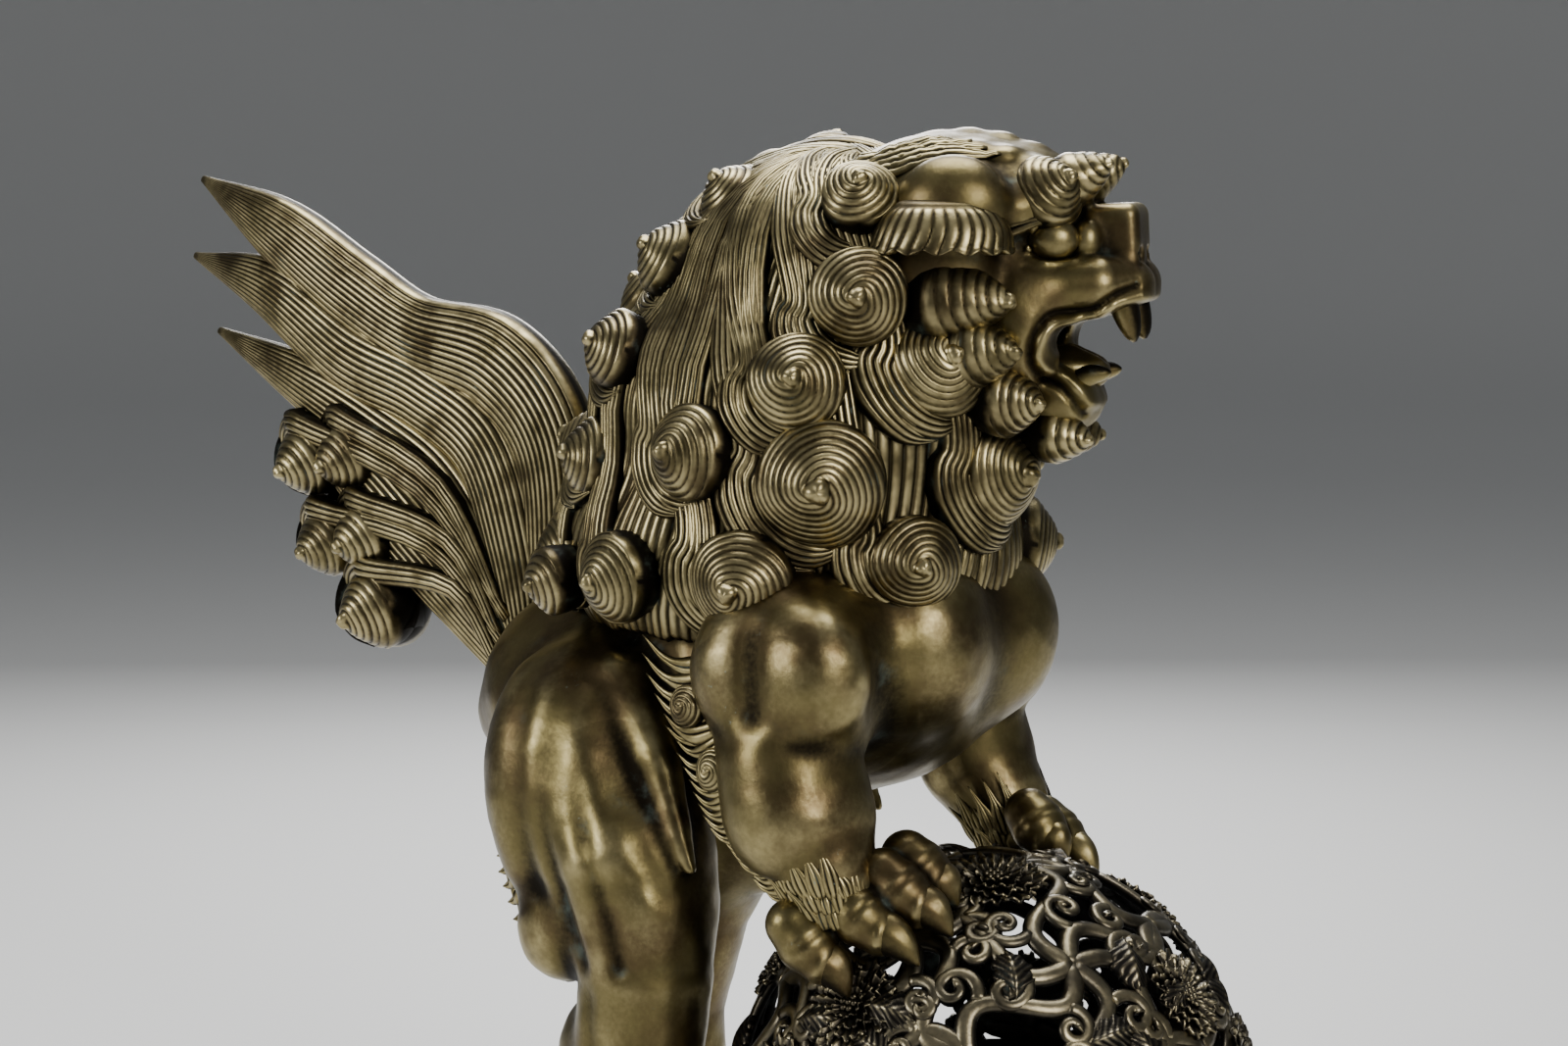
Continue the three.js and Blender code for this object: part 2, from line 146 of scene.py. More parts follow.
def axes_for(normal: Vec) -> Array:
    """A right-handed set of axes on a surface.

    Args:
        normal: The surface's outward direction.

    Returns:
        Rows: to the right as seen from outside, up along the surface, outward.
    """
    n = unit(normal)
    side = np.cross((0.0, 0.0, 1.0), n)
    if np.linalg.norm(side) < 1e-3:
        side = np.cross((1.0, 0.0, 0.0), n)
    side = unit(side)
    return np.array([side, np.cross(n, side), n])


def strand(phase: Array) -> Array:
    """The rounded profile of cast hair: 1 on a strand's back, 0 in the groove, once per unit of phase."""
    f = phase - np.floor(phase)
    return np.sqrt(np.clip(1.0 - (2.0 * f - 1.0) ** 2, 0.0, 1.0))


def wobble(points: Array, scale: float, seed: int) -> Array:
    """Slow, smooth unevenness of a hand-worked surface.

    Args:
        points: Rows of points in millimetres.
        scale: Size of the unevenness in millimetres.
        seed: Chooses one of many patterns.

    Returns:
        A value from about -1 to 1 for each point.
    """
    rng = np.random.default_rng(seed)
    total = np.zeros(len(points))
    for _ in range(6):
        wave = unit(rng.normal(size=3)) * TAU / (scale * rng.uniform(0.7, 1.6))
        total += np.sin(points @ wave + rng.uniform(0, TAU))
    return total / 3.5


# --- Shapes --------------------------------------------------------------------------------------


@dataclass
class Shape:
    """A closed mesh in millimetres, with a relief value (0 in a groove, 1 on a ridge) at each point."""

    points: Array
    quads: Array
    tris: Array
    relief: Array

    def moved(self, origin: Vec, axes: Array) -> "Shape":
        """The shape set on a surface.

        Args:
            origin: Where the shape's own origin goes.
            axes: Rows of the shape's X, Y and Z directions.

        Returns:
            A new shape.
        """
        return Shape(self.points @ np.asarray(axes) + np.asarray(origin, float), self.quads, self.tris,
                     self.relief)

    def mirrored(self) -> "Shape":
        """The shape on the lion's other side."""
        return Shape(self.points * (1, -1, 1), self.quads[:, ::-1], self.tris[:, ::-1], self.relief)

    def on(self, side: Side) -> "Shape":
        """A shape laid out on the right, as it stands on a side."""
        return self if side is Side.RIGHT else self.mirrored()

    def outward(self) -> "Shape":
        """The shape with its faces turned to look outward."""
        p = self.points - self.points.mean(axis=0)
        volume = 0.0
        for tri in (self.tris, self.quads[:, [0, 1, 2]], self.quads[:, [0, 2, 3]]):
            if len(tri):
                a, b, c = p[tri[:, 0]], p[tri[:, 1]], p[tri[:, 2]]
                volume += float(np.einsum("ij,ij->", a, np.cross(b, c)))
        if volume >= 0:
            return self
        return Shape(self.points, self.quads[:, ::-1], self.tris[:, ::-1], self.relief)


def no_faces(corners: int) -> Array:
    """An empty list of faces with that many corners."""
    return np.zeros((0, corners), int)


def joined(shapes: Iterable[Shape]) -> Shape:
    """Several shapes as one."""
    shapes = [shape.outward() for shape in shapes]
    starts = np.cumsum([0] + [len(s.points) for s in shapes])
    return Shape(
        np.vstack([s.points for s in shapes]),
        np.vstack([s.quads + k for s, k in zip(shapes, starts)]),
        np.vstack([s.tris + k for s, k in zip(shapes, starts)]),
        np.concatenate([s.relief for s in shapes]),
    )


def sheet_quads(rows: int, columns: int, wrap: bool) -> Array:
    """The faces of a sheet of rows by columns points; wrap joins the last column to the first."""
    i = np.arange(rows - 1)[:, None]
    j = np.arange(columns if wrap else columns - 1)[None, :]
    k = (j + 1) % columns
    a, b = i * columns + j, i * columns + k
    c, d = (i + 1) * columns + k, (i + 1) * columns + j
    return np.stack([a, b, c, d], axis=-1).reshape(-1, 4)


def tube(rings: Array, relief: Array) -> Shape:
    """A closed sweep: rings of points, each joined to the next, with the ends capped.

    Args:
        rings: Array of stations by points round the section by 3.
        relief: Array of stations by points round the section.

    Returns:
        The closed shape.
    """
    rows, columns = rings.shape[:2]
    points = np.vstack([rings.reshape(-1, 3), rings[0].mean(axis=0), rings[-1].mean(axis=0)])
    j = np.arange(columns)
    k = (j + 1) % columns
    last = (rows - 1) * columns
    near = np.stack([k, j, np.full(columns, rows * columns)], axis=1)
    far = np.stack([last + j, last + k, np.full(columns, rows * columns + 1)], axis=1)
    values = np.concatenate([relief.ravel(), [relief[0].mean(), relief[-1].mean()]])
    return Shape(points, sheet_quads(rows, columns, True), np.vstack([near, far]), values).outward()


def slab(front: Array, back: Array, relief: Array) -> Shape:
    """A closed plate between two sheets of points that meet at a thin rim.

    Args:
        front: Rows by columns by 3 points of the front sheet.
        back: The same for the back sheet.
        relief: Rows by columns values; the back takes them too.

    Returns:
        The closed shape.
    """
    rows, columns = front.shape[:2]
    size = rows * columns
    top = sheet_quads(rows, columns, False)
    edge = np.concatenate([
        np.arange(columns),
        np.arange(1, rows) * columns + columns - 1,
        size - 2 - np.arange(columns - 1),
        np.arange(rows - 2, 0, -1) * columns,
    ])
    following = np.roll(edge, -1)
    wall = np.stack([following, edge, edge + size, following + size], axis=1)
    points = np.vstack([front.reshape(-1, 3), back.reshape(-1, 3)])
    values = np.concatenate([relief.ravel(), relief.ravel()])
    return Shape(points, np.vstack([top, top[:, ::-1] + size, wall]), no_faces(3), values).outward()


def whorl(radius: float, height: float, arms: int, pitch: float, depth: float) -> Shape:
    """A curl of hair like a whelk shell: strands wind inwards and upwards to a knob.

    Args:
        radius: Radius at the foot, in millimetres.
        height: Height of the knob above the foot.
        arms: How many strands wind in side by side.
        pitch: Width of one strand.
        depth: How far the skirt runs below the foot.

    Returns:
        The curl, standing on its own XY plane with the knob along +Z.
    """
    strands = max(3.0, round(radius * 0.86 / pitch))
    rows, columns = int(strands * 6) + 8, 72
    knob = 0.19
    rho = np.linspace(0.02, 1.0, rows)[:, None]
    theta = (np.arange(columns) / columns * TAU)[None, :]
    outside = np.clip((rho - knob) / (1 - knob), 0, 1)
    phase = strands * outside**1.1 + arms * theta / TAU
    ridge = strand(phase)
    turn = strand(phase / arms)
    body = height * (1.0 - np.maximum(rho, knob) ** 1.3) ** 0.85
    ball = radius * knob * 0.95 * np.sqrt(np.clip(1 - (rho / (knob * 1.05)) ** 2, 0, 1))
    fade = ease(outside * 5) * (0.45 + 0.55 * outside)
    z = body + ball + fade * (0.42 * pitch * ridge + 0.75 * turn) + 0.0 * theta
    spread = radius * (rho + 0.02 * np.sin(3 * theta + radius))
    tops = np.stack([spread * np.cos(theta), spread * np.sin(theta), z], axis=-1)
    skirt = [np.stack([radius * s * np.cos(theta[0]), radius * s * np.sin(theta[0]),
                       np.full(columns, -depth * f)], axis=-1) for s, f in ((0.99, 0.35), (0.9, 1.0))]
    # Painted shade: the grooves between strands and the skirt get low relief, which the finish paints dark;
    # the strand backs get high relief, which it rubs bright.
    ridge_wear_and_groove_shade = np.where(outside > 0, 0.15 + 0.85 * ridge * (0.55 + 0.45 * turn), 1.0)
    return tube(np.concatenate([tops, np.stack(skirt)]), np.concatenate([ridge_wear_and_groove_shade, np.zeros((2, columns))]))


def lock(path: Array, normals: Array, widths: Array, strands: float, rise: float = 3.0, depth: float = 4.0,
         groove: float = 0.9) -> Shape:
    """A flat lock of parallel strands that follows a path over a surface.

    Args:
        path: Rows of points along the lock's middle, on the surface.
        normals: The surface's outward direction at each point.
        widths: Full width of the lock at each point.
        strands: How many strands lie side by side.
        rise: How far the lock's middle stands above the surface.
        depth: How far its underside lies below the surface.
        groove: Depth of the grooves between the strands.

    Returns:
        The closed lock.
    """
    along = unit(np.gradient(path, axis=0))
    across = unit(np.cross(normals, along))
    out = unit(np.cross(along, across))
    u = np.linspace(-1, 1, int(strands * 6) + 1)
    ridge = strand((u + 1) / 2 * strands)
    crown = np.sqrt(np.clip(1 - u**2, 0, 1))
    scale = np.clip(widths / widths.max(), 0.05, 1)[:, None]
    height = scale * (rise * crown[None, :] ** 0.8 + groove * ridge[None, :] * crown[None, :] ** 0.5)
    half = widths[:, None] / 2
    top = path[:, None, :] + across[:, None, :] * (half * u)[..., None] + out[:, None, :] * height[..., None]
    low = [path + across * half * s - out * depth * scale for s in (0.9, -0.9)]
    rings = np.concatenate([top, low[0][:, None, :], low[1][:, None, :]], axis=1)
    # Painted shade: the grooves, the lock's edges and its underside get low relief, which the finish paints
    # dark.
    ridge_wear_and_groove_shade = np.broadcast_to(ridge * (0.4 + 0.6 * crown), height.shape)
    return tube(rings, np.concatenate([ridge_wear_and_groove_shade, np.zeros((len(path), 2))], axis=1))


def rod(path: Array, radii: Array, sides: int = 12, flat: float = 1.0,
        normals: Array | None = None) -> Shape:
    """A round or flattened stem along a path.

    Args:
        path: Rows of points along the middle.
        radii: Radius at each point, across the surface.
        sides: Points round the section.
        flat: Thickness over width.
        normals: Outward direction at each point, which the thickness follows.

    Returns:
        The closed stem.
    """
    along = unit(np.gradient(path, axis=0))
    if normals is None:
        normals = np.cross(along, unit(np.cross(along, (0.13, 0.21, 0.97))))
    across = unit(np.cross(normals, along))
    out = unit(np.cross(along, across))
    angle = np.arange(sides) / sides * TAU
    ring = across[:, None] * np.cos(angle)[:, None] + flat * out[:, None] * np.sin(angle)[:, None]
    rings = path[:, None, :] + ring * np.asarray(radii)[:, None, None]
    # Painted shade: the side away from the outward direction gets low relief, which the finish paints dark.
    relief = np.broadcast_to(0.35 + 0.5 * np.sin(angle)[None, :], rings.shape[:2])
    return tube(rings, relief)


# --- Clay: forms that run into each other --------------------------------------------------------


class Clay:
    """A block of clay on a regular grid; the field is negative inside the form, in millimetres."""

    AIR = 40.0

    def __init__(self, low: Vec, high: Vec, cell: float) -> None:
        """Starts an empty block.

        Args:
            low: The block's lowest corner.
            high: The block's highest corner.
            cell: Spacing of the grid.
        """
        self.low = np.asarray(low, float)
        self.cell = cell
        shape = np.ceil((np.asarray(high, float) - self.low) / cell).astype(int) + 1
        self.ticks = [self.low[i] + cell * np.arange(shape[i]) for i in range(3)]
        self.field = np.full(shape, self.AIR, np.float32)

    def copy(self) -> "Clay":
        """A second block with the same form."""
        other = Clay.__new__(Clay)
        other.low, other.cell, other.ticks, other.field = self.low, self.cell, self.ticks, self.field.copy()
        return other

    def window(self, low: Vec, high: Vec) -> tuple[tuple[slice, ...], Array, Array, Array]:
        """The part of the grid between two corners, as slices and broadcastable coordinates."""
        cuts, axes = [], []
        for i in range(3):
            a = int(np.clip((low[i] - self.low[i]) / self.cell, 0, len(self.ticks[i])))
            b = int(np.clip((high[i] - self.low[i]) / self.cell + 2, 0, len(self.ticks[i])))
            cuts.append(slice(a, b))
            view = [1, 1, 1]
            view[i] = b - a
            axes.append(self.ticks[i][a:b].astype(np.float32).reshape(view))
        return (cuts[0], cuts[1], cuts[2]), axes[0], axes[1], axes[2]

    def blend(self, cut: tuple[slice, ...], new: Array, width: float, carve: bool = False) -> None:
        """Adds a form to the block, or carves it out, with a fillet.

        Args:
            cut: The window of the grid that new covers.
            new: The form's field there.
            width: Size of the fillet.
            carve: Takes the form away instead.
        """
        old = self.field[cut]
        if carve:
            old, new = -old, new
        h = np.clip(0.5 + 0.5 * (new - old) / width, 0, 1)
        mixed = new * (1 - h) + old * h - width * h * (1 - h)
        self.field[cut] = -mixed if carve else mixed

    def egg(self, centre: Vec, radii: Vec, width: float, pitch: float = 0.0, carve: bool = False) -> "Clay":
        """An egg-shaped muscle or bone.

        Args:
            centre: Its middle.
            radii: Its three radii.
            width: Fillet where it meets the rest.
            pitch: Nose-down turn about Y, in degrees.
            carve: Hollows the form out instead.

        Returns:
            The block itself.
        """
        reach = max(radii) + width + 6
        cut, x, y, z = self.window([c - reach for c in centre], [c + reach for c in centre])
        x, y, z = x - centre[0], y - centre[1], z - centre[2]
        if pitch:
            s, c = math.sin(math.radians(pitch)), math.cos(math.radians(pitch))
            x, z = c * x - s * z, s * x + c * z
        k0 = np.sqrt((x / radii[0]) ** 2 + (y / radii[1]) ** 2 + (z / radii[2]) ** 2)
        k1 = np.sqrt((x / radii[0] ** 2) ** 2 + (y / radii[1] ** 2) ** 2 + (z / radii[2] ** 2) ** 2)
        self.blend(cut, k0 * (k0 - 1) / np.maximum(k1, 1e-4), width, carve)
        return self

    def brick(self, centre: Vec, half: Vec, corner: float, width: float, pitch: float) -> "Clay":
        """A block with rounded corners: centre, half sizes, corner radius, fillet and pitch in degrees."""
        reach = max(half) * 1.5 + width + 6
        cut, x, y, z = self.window([c - reach for c in centre], [c + reach for c in centre])
        x, y, z = x - centre[0], y - centre[1], z - centre[2]
        s, c = math.sin(math.radians(pitch)), math.cos(math.radians(pitch))
        x, z = c * x - s * z, s * x + c * z
        q = [np.abs(v) - h + corner for v, h in zip((x, y, z), half)]
        outside = np.sqrt(sum(np.maximum(v, 0) ** 2 for v in q))
        inside = np.minimum(np.maximum(np.maximum(q[0], q[1]), q[2]), 0)
        self.blend(cut, outside + inside - corner, width)
        return self

    def distance(self, stations: Sequence[Vec]) -> tuple[tuple[slice, ...], Array]:
        """The distance from a chain of tapered limbs.

        Args:
            stations: Points with a radius, (x, y, z, r).

        Returns:
            The window of the grid and the distance in it.
        """
        k = np.asarray(stations, float)
        reach = k[:, 3].max() + 20
        cut, x, y, z = self.window(k[:, :3].min(axis=0) - reach, k[:, :3].max(axis=0) + reach)
        best = None
        for a, b in zip(k, k[1:]):
            d = b[:3] - a[:3]
            t = ((x - a[0]) * d[0] + (y - a[1]) * d[1] + (z - a[2]) * d[2]) / max(float(d @ d), 1e-6)
            t = np.clip(t, 0, 1)
            gap = np.sqrt((x - a[0] - t * d[0]) ** 2 + (y - a[1] - t * d[1]) ** 2
                          + (z - a[2] - t * d[2]) ** 2)
            gap -= a[3] + (b[3] - a[3]) * t
            best = gap if best is None else np.minimum(best, gap)
        return cut, best

    def limb(self, stations: Sequence[Vec], width: float) -> "Clay":
        """A chain of tapered limbs; stations are (x, y, z, r)."""
        cut, gap = self.distance(stations)
        self.blend(cut, gap, width)
        return self

    def line(self, points: Sequence[Vec], reach: float, depth: float) -> None:
        """A soft groove along a curve, or a ridge where depth is negative.

        Args:
            points: Knots of the curve.
            reach: Half width of the groove.
            depth: How deep it goes at its middle.
        """
        curve = spline(points, 4 * len(points))
        cut, gap = self.distance([(*p, 0.0) for p in curve])
        fade = depth * np.exp(-((gap / reach) ** 2))
        self.field[cut] += fade.astype(np.float32)

    def touched(self, points: Array, middle: Vec, far: float = 90.0) -> Array:
        """Points moved onto the form, along rays from its middle.

        Args:
            points: Rows of points near the form.
            middle: Where the rays start, inside the form.
            far: How far out they run.

        Returns:
            The rays' outermost meetings with the form.
        """
        ways = unit(points - np.asarray(middle, float))
        steps = np.arange(far, 0, -0.4)
        samples = np.asarray(middle, float) + ways[:, None, :] * steps[None, :, None]
        index = np.rint((samples - self.low) / self.cell).astype(int)
        inside = np.all((index >= 0) & (index < self.field.shape), axis=-1)
        index = np.clip(index, 0, np.array(self.field.shape) - 1)
        solid = (self.field[index[..., 0], index[..., 1], index[..., 2]] < 0) & inside
        return samples[np.arange(len(points)), np.argmax(solid, axis=1)]

    def mesh(self) -> Shape:
        """The form's surface as a closed mesh, with the same relief of 0.5 at every point."""
        reach = 3.0 * self.cell
        grid = openvdb.FloatGrid(background=reach)
        values = np.clip(self.field, -reach, reach).astype(np.float32)
        for face in (values[0], values[-1], values[:, 0], values[:, -1], values[:, :, 0], values[:, :, -1]):
            face[...] = reach
        grid.copyFromArray(values, tolerance=1e-4)
        points, quads = grid.convertToQuads(isovalue=0.0)
        points = np.asarray(points, float) * self.cell + self.low
        quads = np.asarray(quads, int)
        shape = Shape(points, quads, no_faces(3), np.full(len(points), 0.5))
        return largest_body(shape).outward()


def edges_of(shape: Shape) -> Array:
    """Every edge of a shape's quads, twice, as pairs of point numbers."""
    q = shape.quads
    pairs = np.vstack([q[:, [0, 1]], q[:, [1, 2]], q[:, [2, 3]], q[:, [3, 0]]])
    if len(shape.tris):
        t = shape.tris
        pairs = np.vstack([pairs, t[:, [0, 1]], t[:, [1, 2]], t[:, [2, 0]]])
    return np.vstack([pairs, pairs[:, ::-1]])


def largest_body(shape: Shape) -> Shape:
    """The shape without the crumbs that carving leaves."""
    label = np.arange(len(shape.points))
    pairs = edges_of(shape)
    while True:
        low = label.copy()
        np.minimum.at(low, pairs[:, 0], label[pairs[:, 1]])
        low = low[low]
        if np.array_equal(low, label):
            break
        label = low
    names, counts = np.unique(label, return_counts=True)
    keep = label == names[np.argmax(counts)]
    number = np.cumsum(keep) - 1
    quads = shape.quads[keep[shape.quads[:, 0]]]
    return Shape(shape.points[keep], number[quads], no_faces(3), shape.relief[keep])


def averaged(values: Array, pairs: Array, times: int) -> Array:
    """Values at points, averaged over neighbours again and again.

    Args:
        values: One value or vector per point.
        pairs: The mesh's edges, both ways.
        times: How many rounds.

    Returns:
        The smoothed values.
    """
    count = np.bincount(pairs[:, 0], minlength=len(values)).astype(float)
    flat = values if values.ndim == 2 else values[:, None]
    for _ in range(times):
        sums = [np.bincount(pairs[:, 0], column[pairs[:, 1]], len(flat)) for column in flat.T]
        flat = np.stack([total / count for total in sums], axis=1)
    return flat if values.ndim == 2 else flat[:, 0]


def normals_of(shape: Shape) -> Array:
    """The outward direction at every point of a shape."""
    total = np.zeros_like(shape.points)
    for face in (shape.quads, shape.tris):
        if len(face):
            p = shape.points[face]
            normal = np.cross(p[:, 2] - p[:, 0], p[:, -1] - p[:, 1])
            for i in range(face.shape[1]):
                np.add.at(total, face[:, i], normal)
    return unit(total)


def worked(shape: Shape, smooth: int = 2, reach: int = 14, gain: float = 0.55) -> Shape:
    """A clay mesh, smoothed, with its relief read from how far each point stands proud.

    Args:
        shape: The clay mesh.
        smooth: Rounds of smoothing of the form itself.
        reach: Rounds of averaging that the relief compares with.
        gain: Relief per millimetre of standing proud.

    Returns:
        The finished shape.
    """
    pairs = edges_of(shape)
    points = shape.points
    for _ in range(smooth):
        points = points + 0.6 * (averaged(points, pairs, 1) - points)
        points = points - 0.55 * (averaged(points, pairs, 1) - points)
    out = Shape(points, shape.quads, shape.tris, shape.relief)
    # The relief is a cavity measure: points that lie below their smoothed neighbours get low values, which
    # the finish paints dark as patina and painted shade.
    proud = np.einsum("ij,ij->i", points - averaged(points, pairs, reach), normals_of(out))
    relief = np.clip(0.5 + gain * averaged(proud, pairs, 1), 0, 1)
    return Shape(points, shape.quads, shape.tris, relief)


# --- Finishes ------------------------------------------------------------------------------------


@dataclass(frozen=True)
class Bronze:
    """A patinated bronze: grooves painted dark for patina and shade, a coloured ground, rubbed edges and
    specks of verdigris.
    """

    name: str
    slot: str
    # groove: the colour of dark patina and painted shade in grooves and hollows.
    groove: Vec
    ground: Vec
    ground_warm: Vec
    edge: Vec
    rough_low: float = 0.26
    rough_high: float = 0.6
    verdigris: float = 0.5
    bump: float = 0.12

    def material(self) -> bpy.types.Material:
        """The finish as a Blender material, made once."""
        made = bpy.data.materials.get(self.name)
        if made:
            return made
        mat = bpy.data.materials.new(self.name)
        mat.use_nodes = True
        tree = mat.node_tree
        shader = tree.nodes["Principled BSDF"]
        link = tree.links.new
        place = tree.nodes.new("ShaderNodeTexCoord").outputs["Object"]

        def noise(scale: float, detail: float, rough: float = 0.55) -> bpy.types.NodeSocket:
            """A noise field over the piece; scale is per metre."""
            node = tree.nodes.new("ShaderNodeTexNoise")
            node.inputs["Scale"].default_value = scale
            node.inputs["Detail"].default_value = detail
            node.inputs["Roughness"].default_value = rough
            link(place, node.inputs["Vector"])
            return node.outputs["Fac"]

        def sums(kind: str, a: object, b: object, clamp: bool = True) -> bpy.types.NodeSocket:
            """One arithmetic step between sockets or numbers."""
            node = tree.nodes.new("ShaderNodeMath")
            node.operation = kind
            node.use_clamp = clamp
            for socket, value in zip(node.inputs, (a, b)):
                if isinstance(value, (int, float)):
                    socket.default_value = value
                else:
                    link(value, socket)
            return node.outputs[0]

        def between(value: bpy.types.NodeSocket, low: float, high: float) -> bpy.types.NodeSocket:
            """The value stretched so that low gives 0 and high gives 1."""
            node = tree.nodes.new("ShaderNodeMapRange")
            node.interpolation_type = "SMOOTHSTEP"
            node.inputs["From Min"].default_value = low
            node.inputs["From Max"].default_value = high
            link(value, node.inputs["Value"])
            return node.outputs["Result"]

        def mixed(amount: bpy.types.NodeSocket, a: object, b: object) -> bpy.types.NodeSocket:
            """A mix of two colours."""
            node = tree.nodes.new("ShaderNodeMix")
            node.data_type = "RGBA"
            link(amount, node.inputs["Factor"])
            for socket, value in zip((node.inputs["A"], node.inputs["B"]), (a, b)):
                if isinstance(value, tuple):
                    socket.default_value = (*value, 1.0)
                else:
                    link(value, socket)
            return node.outputs["Result"]

        relief = tree.nodes.new("ShaderNodeAttribute")
        relief.attribute_name = "relief"
        relief = relief.outputs["Fac"]
        fine = noise(520.0, 5.0)
        broad = noise(26.0, 4.0)
        grain = sums("MULTIPLY", sums("SUBTRACT", fine, 0.5, False), 0.22, False)
        uneven = sums("ADD", relief, grain, False)
        # Painted shade: low relief in grooves and hollows takes the groove colour, which stands for dark
        # patina and the shade that falls there.
        shade = between(uneven, 0.2, 0.66)
        rub = sums("MULTIPLY", between(uneven, 0.58, 0.98), between(noise(60.0, 3.0), 0.3, 0.62))
        ground = mixed(between(broad, 0.38, 0.64), tuple(self.ground), tuple(self.ground_warm))
        colour = mixed(shade, tuple(self.groove), ground)
        colour = mixed(rub, colour, tuple(self.edge))
        specks = sums("MULTIPLY", between(noise(330.0, 4.0, 0.7), 0.64, 0.72),
                      between(noise(30.0, 3.0), 0.54, 0.7))
        film = sums("MULTIPLY", between(noise(75.0, 5.0), 0.56, 0.78), sums("SUBTRACT", 1.0, shade))
        green = sums("MULTIPLY", sums("MAXIMUM", specks, sums("MULTIPLY", film, 0.55)), self.verdigris)
        colour = mixed(green, colour, (0.22, 0.31, 0.27))
        link(colour, shader.inputs["Base Color"])
        link(sums("SUBTRACT", 1.0, sums("MULTIPLY", green, 0.9)), shader.inputs["Metallic"])
        wear = tree.nodes.new("ShaderNodeMapRange")
        wear.inputs["To Min"].default_value = self.rough_high
        wear.inputs["To Max"].default_value = self.rough_low
        link(sums("MULTIPLY", shade, sums("ADD", 0.45, noise(95.0, 4.0))), wear.inputs["Value"])
        link(sums("MAXIMUM", wear.outputs["Result"], sums("MULTIPLY", green, 0.85)),
             shader.inputs["Roughness"])
        bump = tree.nodes.new("ShaderNodeBump")
        bump.inputs["Strength"].default_value = self.bump
        bump.inputs["Distance"].default_value = 0.0006
        link(sums("ADD", fine, noise(170.0, 3.0), False), bump.inputs["Height"])
        link(bump.outputs["Normal"], shader.inputs["Normal"])
        return mat


BODY_BRONZE = Bronze(
    "patinated bronze", "bronze", groove=(0.012, 0.0095, 0.006), ground=(0.150, 0.122, 0.050),
    ground_warm=(0.095, 0.068, 0.032), edge=(0.40, 0.335, 0.165), rough_low=0.34, rough_high=0.62)
HAIR_BRONZE = Bronze(
    "patinated bronze of the hair", "bronze", groove=(0.008, 0.0065, 0.0045), ground=(0.095, 0.078, 0.036),
    ground_warm=(0.070, 0.053, 0.026), edge=(0.43, 0.36, 0.185), rough_low=0.33)
BALL_BRONZE = Bronze(
    "dark bronze of the ball", "dark_bronze", groove=(0.010, 0.009, 0.008), ground=(0.07, 0.062, 0.046),
    ground_warm=(0.055, 0.046, 0.032), edge=(0.34, 0.29, 0.175), rough_low=0.3, verdigris=0.3)
FITTING_BRASS = Bronze(
    "plain brass fittings", "brass", groove=(0.10, 0.07, 0.03), ground=(0.46, 0.35, 0.16),
    ground_warm=(0.38, 0.27, 0.12), edge=(0.7, 0.56, 0.3), verdigris=0.2)


# --- The workshop: from millimetres to the row frame, and onto the bodies --------------------------


def linked(name: str, data: bpy.types.ID) -> bpy.types.Object:
    """A new object in the scene that shows a mesh, a lamp or a camera."""
    obj = bpy.data.objects.new(name, data)
    bpy.context.scene.collection.objects.link(obj)
    return obj


class Workshop:
    """Sets finished shapes into the row frame and onto the CAD bodies."""

    def __init__(self) -> None:
        """Reads where the ball stands from the frame."""
        low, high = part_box("ball_upper_shell")
        self.ball_x = 500.0 * (low[0] + high[0])
        self.pieces = 0

    def row(self, points: Array) -> Array:
        """Workshop millimetres as row-frame metres."""
        return (np.asarray(points, float) + (self.ball_x, 0.0, 0.0)) / 1000.0

    def set_up(self, name: str, shape: Shape, finish: Bronze, body: Body, nodes: Sequence[str] = ()) -> None:
        """Makes a Blender object of a shape.

        Args:
            name: The piece's name.
            shape: Its closed mesh, in workshop millimetres.
            finish: Its finish.
            body: The CAD body that it rides on.
            nodes: CAD nodes that it stands for.
        """
        name = name.replace(" ", "_")
        shape = shape.outward()
        quads, tris = shape.quads.astype(np.int32), shape.tris.astype(np.int32)
        mesh = bpy.data.meshes.new(name)
        mesh.vertices.add(len(shape.points))
        mesh.vertices.foreach_set("co", self.row(shape.points).astype(np.float32).ravel())
        mesh.loops.add(quads.size + tris.size)
        mesh.loops.foreach_set("vertex_index", np.concatenate([quads.ravel(), tris.ravel()]))
        mesh.polygons.add(len(quads) + len(tris))
        sizes = np.concatenate([np.full(len(quads), 4), np.full(len(tris), 3)]).astype(np.int32)
        starts = np.concatenate([[0], np.cumsum(sizes)[:-1]]).astype(np.int32)
        mesh.polygons.foreach_set("loop_start", starts)
        mesh.update(calc_edges=True)
        mesh.validate()
        layer = mesh.attributes.new("relief", "FLOAT", "POINT")
        layer.data.foreach_set("value", shape.relief.astype(np.float32))
        mesh.shade_smooth()
        obj = linked(name, mesh)
        mesh.materials.append(finish.material())
        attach(obj, body.value)
        if nodes:
            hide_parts(*nodes)
        self.pieces += 1
        LOG.info("%s: %d points, on %s", name, len(shape.points), body.value)


def rub_on_cad(nodes: Sequence[str], finish: Bronze) -> None:
    """Gives CAD nodes that stay in view a finish.

    Args:
        nodes: The nodes' names.
        finish: What they are made of.
    """
    for name in nodes:
        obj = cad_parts[name]
        obj.data.materials.clear()
        obj.data.materials.append(finish.material())
        LOG.info("%s: CAD piece in %s", name, finish.name)


# --- Body, legs and paws ---------------------------------------------------------------------------


@dataclass
class Leg:
    """One leg: its chain of bones, the muscles on it and the creases in its skin."""

    name: str
    node: str
    bones: list[tuple[float, float, float, float]]
    muscles: list[tuple[Point, Point, float]]
    creases: list[tuple[float, float, list[Point]]] = field(default_factory=list)


